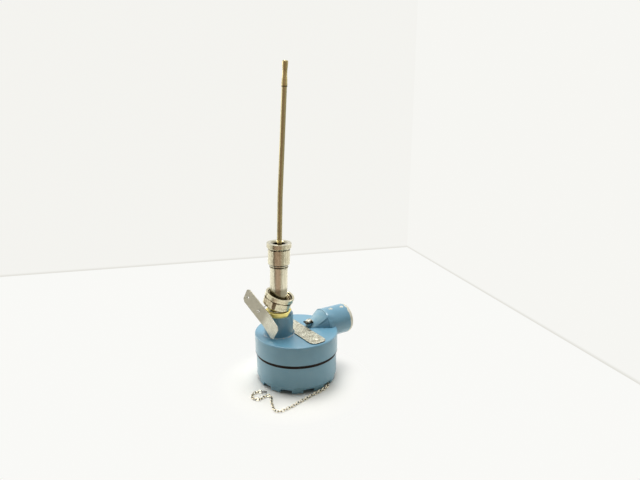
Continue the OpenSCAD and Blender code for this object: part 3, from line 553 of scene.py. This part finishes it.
# Painted light: the hood's sloping crown is paler, in uneven patches, above an edge that climbs
above_edge = calculate(tree, "MULTIPLY_ADD", along, -CROWN_LIGHT_CLIMB, parts["Z"])
light_patches = blotches(tree, place, Scale=160, Low=0.35, High=0.65)
painted_crown_light = all_of(tree, spread_mm(tree, above_edge, CROWN_LIGHT_FROM_Z, CROWN_LIGHT_FULL_Z),
                 spread_mm(tree, along, CROWN_LIGHT_END, CROWN_LIGHT_FULL_END),
                 spread_mm(tree, parts["Z"], FLAT_FACE_Z, FLAT_FACE_Z + 1),
                 between(tree, light_patches, 0.45, 0.95))
feed(shader, {"Base Color": mix(tree, painted_crown_light, blue, (0.24, 0.42, 0.5))})
dress("head_housing", head_enamel)

# Conduit hood: the sloping web of the entry's hood, with a crowned top and flat flanks that meet
# in an edge, in the head's enamel. It starts on the flat face and runs out on the barrel. A known
# fault: its closed body also fills the upper half of the bore's throat.

HOOD_FROM, HOOD_EDGE_FROM, HOOD_TO, HOOD_END, HOOD_DEPTH = 17.2, 24.0, 40.0, 50.0, 1.5
HOOD_SECTIONS, HOOD_CROWN, HOOD_FLANK = 24, 6, 4
TOE_MIDDLE, TOE_R, TOE_PROUD, FLANK_SPREAD = 25.0, 8.0, 0.35, 0.8
CREST_FROM, CREST_UP, CREST_CLIMB, CREST_MOST, CROWN_POWER = 17, 0.65, 0.816, 18.56, 1.8
EDGE_UP, EDGE_CLIMB, EDGE_POWER = 0.3, 13.8, 0.75
EDGE_ASIDE, EDGE_SPREAD, EDGE_BULGE = 8.3, 5.7, 0.9
BARREL_R, BARREL_CROWN_STEP, BARREL_FLANK_STEP = 19.04, 8, 10.2


def smooth(u):
    """Runs from 0 to 1 with level ends."""
    u = max(0.0, min(1.0, u))
    return u * u * (3 - 2 * u)


def hood_section(s):
    """Points (aside, up) from the flat face, across the hood at a distance from the axis."""
    reach = min(s, HOOD_TO)
    if reach > TOE_MIDDLE:
        foot = TOE_PROUD + TOE_R + FLANK_SPREAD * (reach - TOE_MIDDLE)
    else:
        foot = TOE_PROUD + (TOE_R ** 2 - (TOE_MIDDLE - reach) ** 2) ** 0.5
    crest = min(CREST_UP + (reach - CREST_FROM) * CREST_CLIMB, CREST_MOST)
    g = max(0.0, (reach - HOOD_EDGE_FROM) / (HOOD_TO - HOOD_EDGE_FROM))
    edge_up = EDGE_UP + EDGE_CLIMB * g ** EDGE_POWER
    edge_aside = min(foot - 0.1, EDGE_ASIDE + EDGE_SPREAD * g + EDGE_BULGE * sin(pi * g))
    half = [(q * edge_aside, crest - (crest - edge_up) * q ** CROWN_POWER)
            for q in (k / HOOD_CROWN for k in range(HOOD_CROWN + 1))]
    half += [(edge_aside + (foot - edge_aside) * q, edge_up * (1 - q))
             for q in (k / HOOD_FLANK for k in range(1, HOOD_FLANK + 1))]
    u = smooth((s - HOOD_TO) / (HOOD_END - HOOD_TO))
    for k, (aside, up) in enumerate(half):
        turn = radians(BARREL_CROWN_STEP * min(k, HOOD_CROWN)
                       + BARREL_FLANK_STEP * max(k - HOOD_CROWN, 0))
        round_up = BARREL_R * cos(turn) + CONDUIT_Z - FLAT_FACE_Z
        half[k] = (aside + (BARREL_R * sin(turn) - aside) * u, up + (round_up - up) * u)
    last = half[-1][0] - 1
    return ([(-last, -HOOD_DEPTH)] + [(-aside, up) for aside, up in half[:0:-1]] + half
            + [(last, -HOOD_DEPTH)])


def tube_faces(rings, sides):
    """Faces of a tube through rings of points that follow each other, with flat ends."""
    last = (rings - 1) * sides
    around = [(i * sides + k, i * sides + (k + 1) % sides, (i + 1) * sides + (k + 1) % sides,
               (i + 1) * sides + k) for i in range(rings - 1) for k in range(sides)]
    return around + [tuple(reversed(range(sides))), tuple(range(last, last + sides))]


along_way = Matrix.Rotation(radians(CONDUIT_TURN), 4, "Z")
section_ways = [HOOD_FROM + (HOOD_END - HOOD_FROM) * i / HOOD_SECTIONS
                for i in range(HOOD_SECTIONS + 1)]
points = [along_way @ Vector((s, aside, FLAT_FACE_Z + up)) * MM
          for s in section_ways for aside, up in hood_section(s)]
across = 2 * (HOOD_CROWN + HOOD_FLANK) + 3
hood = new_object("conduit_hood", points, tube_faces(HOOD_SECTIONS + 1, across))
# Sharp along the two creases, as far as the barrel, and round the end
for edge in hood.data.edges:
    a, b = (v % across for v in edge.vertices)
    first, section = (v // across for v in sorted(edge.vertices))
    if a == b:
        edge.use_edge_sharp = (a in (1 + HOOD_FLANK, across - 2 - HOOD_FLANK)
                               and section_ways[section] < HOOD_TO)
    else:
        edge.use_edge_sharp = first == section == HOOD_SECTIONS
hood.data.materials.append(head_enamel)
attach(hood, "head_body")

# Conduit thread: the turned thread in the mouth of the entry, in the casting's bare metal. It is a
# ridge on the wall of the bore, about the entry's axis.

conduit_frame = (along_way @ Matrix.Translation((0, 0, CONDUIT_Z))
                 @ Matrix.Rotation(radians(90), 4, "Y"))
conduit_thread = thread_ridge("conduit_thread", conduit_frame, radius=13.2, pitch=1.8,
                              start=56.6, length=17, depth=0.75)
conduit_thread.data.materials.append(bare_casting)
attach(conduit_thread, "head_body")

# Terminal block: a moulded brown block under the head's flat wall, with four brass clamps and
# their screws, held by two steel screws.

dress("terminal_block", plain_material("brown_phenolic", (0.06, 0.03, 0.02), (0.08, 0.045, 0.03),
                                       120, 0.3))
brass = metal_material("terminal_brass", (0.72, 0.55, 0.24), (0.5, 0.38, 0.16), 0.3, 200)
dress("terminal_clamps", brass)
dress("terminal_screws", brass)
dress("block_screws", bright_steel)

# Leads: four insulated wires that run from the sleeve on the probe's end to the clamps.

LEAD_RADIUS, LEAD_STEPS = 0.75, 32
SLEEVE_PLACE, LEAD_STARTS = (-22.58, -8.5), (-1.2, 3.2, -3.2, 1.2)
LEAD_ENDS = ((-2.3, -1), (-2.3, 12), (10.7, -1), (10.7, 12))
LEAD_LOW, LEAD_HIGH, LEAD_RISES_AT = 35.95, 43.65, 0.72


def wires_object(name, paths, radius, sides=10):
    """One object of round wires with flat ends, each along a path in millimetres."""
    points, faces = [], []
    for path in paths:
        faces += [tuple(len(points) + k for k in face) for face in tube_faces(len(path), sides)]
        side = None
        for i, middle in enumerate(path):
            along = (path[min(i + 1, len(path) - 1)] - path[max(i - 1, 0)]).normalized()
            side = along.orthogonal() if side is None else side - along * side.dot(along)
            side.normalize()
            other = along.cross(side)
            points += [(middle + radius * (cos(a) * side + sin(a) * other)) * MM
                       for a in (2 * pi * k / sides for k in range(sides))]
    return new_object(name, points, faces)


lead_paths = []
for start, (end_x, end_y) in zip(LEAD_STARTS, LEAD_ENDS):
    begin_x, begin_y = SLEEVE_PLACE[0], SLEEVE_PLACE[1] + start
    lead_paths.append([Vector((
        begin_x + (end_x - begin_x) * u, begin_y + (end_y - begin_y) * smooth(u),
        LEAD_LOW + (LEAD_HIGH - LEAD_LOW) * smooth((u - LEAD_RISES_AT) / (1 - LEAD_RISES_AT))))
        for u in (n / LEAD_STEPS for n in range(LEAD_STEPS + 1))])
leads = wires_object("leads", lead_paths, LEAD_RADIUS)
leads.data.materials.append(plain_material("red_insulation", (0.5, 0.05, 0.035), (0.6, 0.08, 0.05),
                                           260, 0.45))
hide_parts("lead_wires")
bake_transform(leads)

# Ground screw and clamp: a bright slotted screw on the lug beside the conduit entry, with a
# pressed steel clamp under its head. The clamp's flat is painted black as the shadow under the
# screw's head.

CLAMP_TOP_Z = 67.3

screw_nickel = metal_material("screw_nickel", (0.86, 0.83, 0.72), (0.7, 0.66, 0.54), 0.35, 300)
dress("ground_screw", screw_nickel)
ground_steel = metal_material("ground_clamp_steel", (0.7, 0.66, 0.52), (0.4, 0.36, 0.26), 0.35, 400)
tree, shader, steel = reopen(ground_steel)
# Painted shadow: the clamp is black below its top, as the shade under the screw's head
clamp_shadow = spread_mm(tree, object_place(tree)[1]["Z"], CLAMP_TOP_Z + 0.7, CLAMP_TOP_Z + 0.3)
feed(shader, {"Base Color": mix(tree, clamp_shadow, steel, (0.02, 0.018, 0.015))})
dress("ground_clamp", ground_steel)

# Name plate: a long blank plate of dull steel with a speckled face, sheared at its edge, held by
# two small screws on the flat face of the head. Its sides are painted dark as the shadow line
# under its edge, and a dark patch lies near the ground lug.

DARK_PATCH_PLACE, DARK_PATCH_R, DARK_PATCH_CORE_R = (16.9 * MM, -4.3 * MM, FLAT_FACE_Z * MM), 4.2, 1.2


def plate_material(name, pale, dark, speckle):
    """Dull rolled steel: fine dark specks and wide stains on a pale face."""
    material, tree, shader = start_material(name)
    place = object_place(tree)[0]
    specks = blotches(tree, place, Scale=950, Detail=3, Low=0.48, High=0.58)
    wide = blotches(tree, place, Scale=160, Low=0.4, High=0.7)
    face = mix(tree, between(tree, specks, 0, speckle), pale, dark)
    face = mix(tree, between(tree, wide, 0, 0.35), face, dark)
    feed(shader, {"Base Color": face, "Metallic": 0.75, "Roughness": 0.45})
    add_bump(tree, shader, specks, 0.1, 0.0001)
    return material


name_plate_steel = plate_material("name_plate_steel", (0.7, 0.69, 0.56), (0.17, 0.145, 0.09), 0.8)
tree, shader, face = reopen(name_plate_steel)
place, parts = object_place(tree)
# A dark patch on the plate near the lug's foot
dark_patch = spread_mm(tree, distance_from(tree, place, DARK_PATCH_PLACE), DARK_PATCH_R, DARK_PATCH_CORE_R, 0, 0.75)
face = mix(tree, dark_patch, face, (0.07, 0.06, 0.045))
# Painted shadow: the plate's sides are dark, as the shade line under its edge
edge = spread_mm(tree, parts["Z"], FLAT_FACE_Z + 0.98, FLAT_FACE_Z + 0.9)
feed(shader, {"Base Color": mix(tree, edge, face, (0.02, 0.018, 0.015))})
dress("name_plate", name_plate_steel)
dress("name_plate_screws", screw_nickel)

# Stem hub: the round boss that carries the stem, cast on the head, in its enamel. It is worn to a
# brown line along its foot.

HUB_PLACE, HUB_TOP_Z = (-21.2, -8.5), 86.5


def hub_chips(tree, place, parts):
    """A ragged worn line along the foot of the hub."""
    ragged = blotches(tree, place, Scale=300, Low=0.5, High=0.62)
    return all_of(tree, between(tree, ragged, 0.15, 0.75),
                  spread_mm(tree, parts["Z"], FLAT_FACE_Z + 1.0, FLAT_FACE_Z + 0.3))


dress("stem_hub", enamel_material("hub_enamel", hub_chips, upper_blue=(0.135, 0.325, 0.44),
                                  worn=(0.42, 0.35, 0.29)))

# Lock ring: a yellow plated ring round the nipple, on the hub. The hub's enamel has run over it
# on its right side.

RUN_SLOPE, RUN_ASIDE = 0.85, 12.5

yellow, tree, shader = start_material("yellow_plate")
place, parts = object_place(tree)
plate = mix(tree, blotches(tree, place, Scale=220), (1.0, 0.9, 0.34), (0.95, 0.8, 0.28))
right_side = calculate(tree, "MULTIPLY_ADD", noise(tree, place, 500, 2), 0.003, parts["X"])
right_side = calculate(tree, "MULTIPLY_ADD", parts["Z"], -RUN_SLOPE, right_side)
run_edge = HUB_PLACE[0] + RUN_ASIDE - HUB_TOP_Z * RUN_SLOPE
painted = spread_mm(tree, right_side, run_edge, run_edge + 0.4)
feed(shader, {"Base Color": mix(tree, painted, plate, (0.11, 0.26, 0.38)),
              "Metallic": between(tree, painted, 0.9, 0.0), "Roughness": 0.45})
dress("lock_ring", yellow)

# Nipple: a half inch pipe, plated, with fine drawn lines along it. It leans a little to the right
# and is painted dark where the nut hangs round it, as the nut's shade and its dark reflection.

STEM_LEAN, NUT_SHADE_FROM_Z, NUT_SHADE_FULL_Z = 1.6, 123, 118
stem_frame = (Matrix.Translation((*HUB_PLACE, HUB_TOP_Z))
              @ Matrix.Rotation(radians(STEM_LEAN), 4, "Y")
              @ Matrix.Translation((0, 0, -HUB_TOP_Z)))


def drawn_material(name, bright, dull, roughness, lines=900):
    """Plated metal with fine lines that run along Z, and faint stains."""
    material, tree, shader = start_material(name)
    place = object_place(tree)[0]
    narrow = add_node(tree, "ShaderNodeMapping", {"Vector": place, "Scale": (1, 1, 0.03)})
    streaks = blotches(tree, narrow.outputs["Vector"], Scale=lines, Detail=3, Low=0.35, High=0.7)
    stains = blotches(tree, place, Scale=180, Detail=5, Low=0.5, High=0.8)
    tone = mix(tree, between(tree, streaks, 0, 0.7), bright, dull)
    tone = mix(tree, between(tree, stains, 0, 0.5), tone, tuple(0.6 * v for v in dull))
    feed(shader, {"Base Color": tone, "Metallic": 1.0,
                  "Roughness": between(tree, streaks, roughness * 0.85, roughness * 1.25)})
    add_bump(tree, shader, streaks, 0.12, 0.00004)
    return material


def local_place(tree, matrix):
    """The point's place in a frame given in millimetres, whole and as its X, Y and Z."""
    place = add_node(tree, "ShaderNodeMapping", {
        "Vector": object_place(tree)[0], "Location": matrix.translation * MM,
        "Rotation": matrix.to_euler()}, vector_type="TEXTURE").outputs["Vector"]
    return place, add_node(tree, "ShaderNodeSeparateXYZ", {0: place}).outputs


nipple_plating = drawn_material("nipple_plating", (0.75, 0.72, 0.575), (0.57, 0.53, 0.41), 0.16)
tree, shader, tone = reopen(nipple_plating)
height = local_place(tree, stem_frame)[1]["Z"]
# Painted shade and reflection of the nut's inside, low on the pipe
nut_shade = spread_mm(tree, height, NUT_SHADE_FROM_Z, NUT_SHADE_FULL_Z, 0, 0.75)
feed(shader, {"Base Color": mix(tree, nut_shade, tone, (0.17, 0.155, 0.1))})
dress("nipple", nipple_plating)

# Union tailpiece: the plated half of the union that is screwed on the pipe, turned, with a flared
# flange that the nut draws down. Its neck, its groove and its bore are painted dark as the shade
# in them, over a mottle of old dirt.

TAIL_Z, TAIL_GROOVE_Z, FLANGE_TOP_Z, CONE_R, BORE_R = 145.2, 167.9, 176.0, 10.9, 8.3
# The low and high side of each line of painted shade, and how dark it is at least
DARK_LINES = ((TAIL_Z + 4.1, TAIL_Z + 5.3, 0.75), (TAIL_Z + 1.3, TAIL_Z + 2.4, 0.75),
              (TAIL_GROOVE_Z, TAIL_GROOVE_Z + 1.1, 0.25))


def from_axis(tree, place):
    """The distance of a place from the Z axis of its frame."""
    flat = add_node(tree, "ShaderNodeVectorMath", {0: place, 1: (1, 1, 0)}, operation="MULTIPLY")
    return add_node(tree, "ShaderNodeVectorMath", {0: flat.outputs["Vector"]},
                    operation="LENGTH").outputs["Value"]


tail_plating = drawn_material("tailpiece_plating", (0.71, 0.675, 0.52), (0.5, 0.45, 0.32), 0.2)
tree, shader, tone = reopen(tail_plating)
place, parts = local_place(tree, stem_frame)
mottle = blotches(tree, object_place(tree)[0], Scale=420, Low=0.42, High=0.56)
dirty = spread_mm(tree, parts["Z"], TAIL_GROOVE_Z - 1, TAIL_GROOVE_Z, 0.12, 0.18)
tone = mix(tree, all_of(tree, mottle, dirty), tone, (0.2, 0.17, 0.1))
for low, high, least in DARK_LINES:
    line = all_of(tree, band(tree, parts["Z"], low, high), between(tree, mottle, least, 1))
    tone = mix(tree, line, tone, (0.03, 0.026, 0.015))
reach = from_axis(tree, place)
cone = all_of(tree, spread_mm(tree, reach, CONE_R, CONE_R - 0.6, 0, 0.7),
              spread_mm(tree, parts["Z"], FLANGE_TOP_Z - 0.05, FLANGE_TOP_Z - 0.3))
tone = mix(tree, cone, tone, (0.26, 0.23, 0.14))
# Painted shade down the bore
bore = all_of(tree, spread_mm(tree, reach, BORE_R, BORE_R - 0.7),
              spread_mm(tree, parts["Z"], FLANGE_TOP_Z - 6, FLANGE_TOP_Z - 4))
feed(shader, {"Base Color": mix(tree, bore, tone, (0.05, 0.04, 0.02))})
dress("union_tailpiece", tail_plating)

# Union nut: the loose plated nut of the union. It hangs tilted on the pipe, with its thread in
# sight, painted shade in its bore, under its collar and on a corner flat, and a wrench's tooth
# marks on its left flat.

NUT_TILT, NUT_TURN, NUT_SHIFT, NUT_Z, NUT_FLATS, NUT_BORE_R = 17, -12.5, 2.4, 97.227, 33.4, 15.0
COLLAR_FROM_Z, COLLAR_TO_Z = 8.9, 10.2
SHADE_LEFT, SHADE_RIGHT, SHADE_FROM_Y, SHADE_LOW, SHADE_HIGH = -1.6, 2.4, -16.6, 1.2, 9.0
MARKED_FLAT, MARK_PLACES = -118.5, (-6.6, -3.3, 0.0, 3.3, 6.6)
MARK_LOW, MARK_HIGH, MARK_SLANT, MARK_DEPTH = 1.2, 8.8, 0.9, -0.1
MARK_PROFILE = ((MARK_DEPTH, -0.55), (0.45, 0.0), (MARK_DEPTH, 0.55))

nut_frame = (stem_frame @ Matrix.Translation((0, 0, NUT_Z))
             @ Matrix.Rotation(radians(NUT_TURN), 4, "Z") @ Matrix.Translation((-NUT_SHIFT, 0, 0))
             @ Matrix.Rotation(radians(NUT_TILT), 4, "Y"))
nut_plating = metal_material("nut_plating", (0.68, 0.635, 0.465), (0.56, 0.51, 0.36), 0.22, 600,
                             grain=0.05)
tree, shader, tone = reopen(nut_plating)
place, parts = local_place(tree, nut_frame)
# Painted shade inside the nut's bore and on its thread
inside = spread_mm(tree, from_axis(tree, place), NUT_BORE_R + 0.5, NUT_BORE_R + 0.1)
tone = mix(tree, inside, tone, (0.22, 0.185, 0.11))
ragged = blotches(tree, place, Scale=500, Low=0.4, High=0.55)
# Painted shade: a ragged dark line under the collar, at its step to the flats
under_collar = all_of(tree, band(tree, parts["Z"], COLLAR_FROM_Z, COLLAR_TO_Z),
                      between(tree, ragged, 0.6, 1))
tone = mix(tree, under_collar, tone, (0.13, 0.08, 0.04))
# Painted shade with a dark reflection on the corner flat between two lit flats
corner_shade = all_of(tree, band(tree, parts["X"], SHADE_LEFT, SHADE_RIGHT, 0.4),
               spread_mm(tree, parts["Y"], SHADE_FROM_Y, SHADE_FROM_Y - 0.4),
               band(tree, parts["Z"], SHADE_LOW, SHADE_HIGH, 0.4))
feed(shader, {"Base Color": mix(tree, corner_shade, tone, (0.15, 0.115, 0.07))})
dress("union_nut", nut_plating)
nut_thread = thread_ridge("nut_thread", nut_frame, radius=NUT_BORE_R, pitch=1.9, start=4.0,
                          length=9.6, depth=0.75)
nut_thread.data.materials.append(nut_plating)
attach(nut_thread, "nut_body")
flat_frame = nut_frame @ Matrix.Rotation(radians(MARKED_FLAT), 4, "Z")
points, faces = [], []
for middle in MARK_PLACES:
    faces += [tuple(len(points) + k for k in face)
              for face in ((0, 2, 1), (3, 4, 5), (0, 1, 4, 3), (1, 2, 5, 4), (2, 0, 3, 5))]
    points += [flat_frame @ Vector((NUT_FLATS / 2 + out, middle + aside + slant, z)) * MM
               for z, slant in ((MARK_LOW, MARK_SLANT), (MARK_HIGH, -MARK_SLANT))
               for out, aside in MARK_PROFILE]
tooth_marks = new_object("nut_tooth_marks", points, faces, smooth=False)
tooth_marks.data.materials.append(metal_material("nut_burrs", (0.85, 0.8, 0.62),
                                                 (0.4, 0.34, 0.22), 0.3, 500))
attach(tooth_marks, "nut_body")

# Tag and its wire: a loose blank plate of dull steel that leans on the hub. A twisted steel wire
# from a loop round the pipe runs through its hole and ends in a curl.

TAG_MIDDLE = Vector((-41.39, -16.86, 89.49))
TAG_TURN, TAG_LEAN, TAG_ROLL, TAG_HOLE = 225.6, -6.3, 234.7, 4.4
DULL_FROM, DULL_FULL = -14, -4
WIRE_R, TWIST_R, TWIST_PITCH, WIRE_ROUNDS = 0.3, 0.3, 3.2, 4
LOOP_RADIUS, LOOP_Z, LOOP_STEPS, WIRE_LEAVES_AT = 11.52, 92.0, 60, radians(190)
BEND_Z, BEND_R, BEHIND_HOLE, BEFORE_HOLE = 99.33, 13, -3.0, 1.7
CURL_R, CURL_RISE, CURL_STEPS, CURL_POINTS = 1.35, 0.1, 16, 21

tag_frame = (Matrix.Translation(TAG_MIDDLE) @ Matrix.Rotation(radians(TAG_TURN), 4, "Z")
             @ Matrix.Rotation(radians(90 - TAG_LEAN), 4, "Y")
             @ Matrix.Rotation(radians(TAG_ROLL), 4, "Z"))
tag_steel = plate_material("tag_plate_steel", (0.68, 0.67, 0.57), (0.42, 0.4, 0.31), 0.5)
tree, shader, face = reopen(tag_steel)
tag_way = tag_frame.to_3x3() @ Vector((1, 0, 0))
middle_way = tag_way.dot(TAG_MIDDLE)
dulled = spread_mm(tree, distance_along(tree, object_place(tree)[0], tag_way),
                   middle_way + DULL_FROM, middle_way + DULL_FULL, 0, 0.8)
feed(shader, {"Base Color": mix(tree, dulled, face, (0.33, 0.305, 0.235))})
dress("tag_plate", tag_steel)

out_way = Vector((cos(WIRE_LEAVES_AT), sin(WIRE_LEAVES_AT), 0))
loop_middle = Vector((*HUB_PLACE, LOOP_Z))
corners = [loop_middle + LOOP_RADIUS * out_way, Vector((*HUB_PLACE, BEND_Z)) + BEND_R * out_way,
           tag_frame @ Vector((TAG_HOLE, 0, BEHIND_HOLE)),
           tag_frame @ Vector((TAG_HOLE, 0, BEFORE_HOLE))]
for _ in range(WIRE_ROUNDS):
    rounder = [corners[0]]
    for a, b in zip(corners, corners[1:]):
        rounder += [a.lerp(b, 0.25), a.lerp(b, 0.75)]
    corners = rounder + [corners[-1]]
strands = []
for phase in (0, pi):
    way, side, strand = 0.0, Vector((0, 1, 0)), []
    for i, middle in enumerate(corners):
        along = (corners[min(i + 1, len(corners) - 1)] - corners[max(i - 1, 0)]).normalized()
        side = (side - along * side.dot(along)).normalized()
        way += (middle - corners[i - 1]).length if i else 0
        turn = phase + 2 * pi * way / TWIST_PITCH
        strand.append(middle + TWIST_R * (cos(turn) * side + sin(turn) * along.cross(side)))
    strands.append(strand)
loop = [loop_middle + LOOP_RADIUS * Vector((cos(a), sin(a), 0)) for a in (
    WIRE_LEAVES_AT + 2 * pi * k / LOOP_STEPS for k in range(LOOP_STEPS + 1))]
curl = [tag_frame @ Vector((TAG_HOLE + CURL_R * cos(a), CURL_R * sin(a), CURL_R + CURL_RISE * a))
        for a in (2 * pi * k / CURL_STEPS for k in range(CURL_POINTS))]
tag_wire = wires_object("tag_wire_twisted", strands + [loop, curl], WIRE_R, 8)
tag_wire.data.materials.append(bright_steel)
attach(tag_wire, "head_body")
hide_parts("tag_wire")

# Probe: a thin stainless sheath, bronzed by heat and slightly bent, with a paler swaged tip, its
# white mineral fill and the element in the tip.

TIP_Z = 352.1

dress("probe_sheath", drawn_material("sheath_bronzed", (0.42, 0.355, 0.185), (0.31, 0.26, 0.15),
                                     0.3, lines=1400))
tip_bronzed = metal_material("tip_bronzed", (0.45, 0.37, 0.18), (0.32, 0.26, 0.12), 0.3, 150)
tree, shader, tone = reopen(tip_bronzed)
foot_ring = spread_mm(tree, object_place(tree)[1]["Z"], TIP_Z + 1.2, TIP_Z + 0.7)
feed(shader, {"Base Color": mix(tree, foot_ring, tone, (0.06, 0.045, 0.02))})
dress("probe_tip", tip_bronzed)
ceramic = plain_material("white_ceramic", (0.85, 0.84, 0.8), (0.75, 0.73, 0.68), 300, 0.5)
dress("probe_core", ceramic)
dress("sensing_element", ceramic)

# Probe spring: a steel spring with closed end coils round the sheath, inside the pipe. It pushes
# the collar up against the stop ring. The sleeve on the sheath's lower end is black shrink tube.

SPRING_RADIUS, SPRING_WIRE, SPRING_TURNS, SPRING_STEPS = 5.6, 0.6, 7, 24
SPRING_LOW, SPRING_HIGH = 77.65, 96.35
# The end parts without rise, and the share of the rise that begins and ends smoothly
SOFT_END, FLAT_END, SOFT_SHARE = 0.06, 0.08, 0.35

spring_line = []
for i in range(SPRING_TURNS * SPRING_STEPS + 1):
    u = i / (SPRING_TURNS * SPRING_STEPS)
    even = max(0.0, min(1.0, (u - FLAT_END) / (1 - 2 * FLAT_END)))
    rise = SOFT_SHARE * smooth((u - SOFT_END) / (1 - 2 * SOFT_END)) + (1 - SOFT_SHARE) * even
    a = 2 * pi * i / SPRING_STEPS
    spring_line.append(stem_frame @ Vector((SPRING_RADIUS * cos(a), SPRING_RADIUS * sin(a),
                                            SPRING_LOW + (SPRING_HIGH - SPRING_LOW) * rise)))
spring = wires_object("coil_spring", [spring_line], SPRING_WIRE, 10)
spring.data.materials.append(bright_steel)
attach(spring, "head_body")
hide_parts("probe_spring")
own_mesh(spring)
for name in ("probe_collar", "spring_seat", "stop_ring"):
    dress(name, bright_steel)
dress("lead_sleeve", rubber)
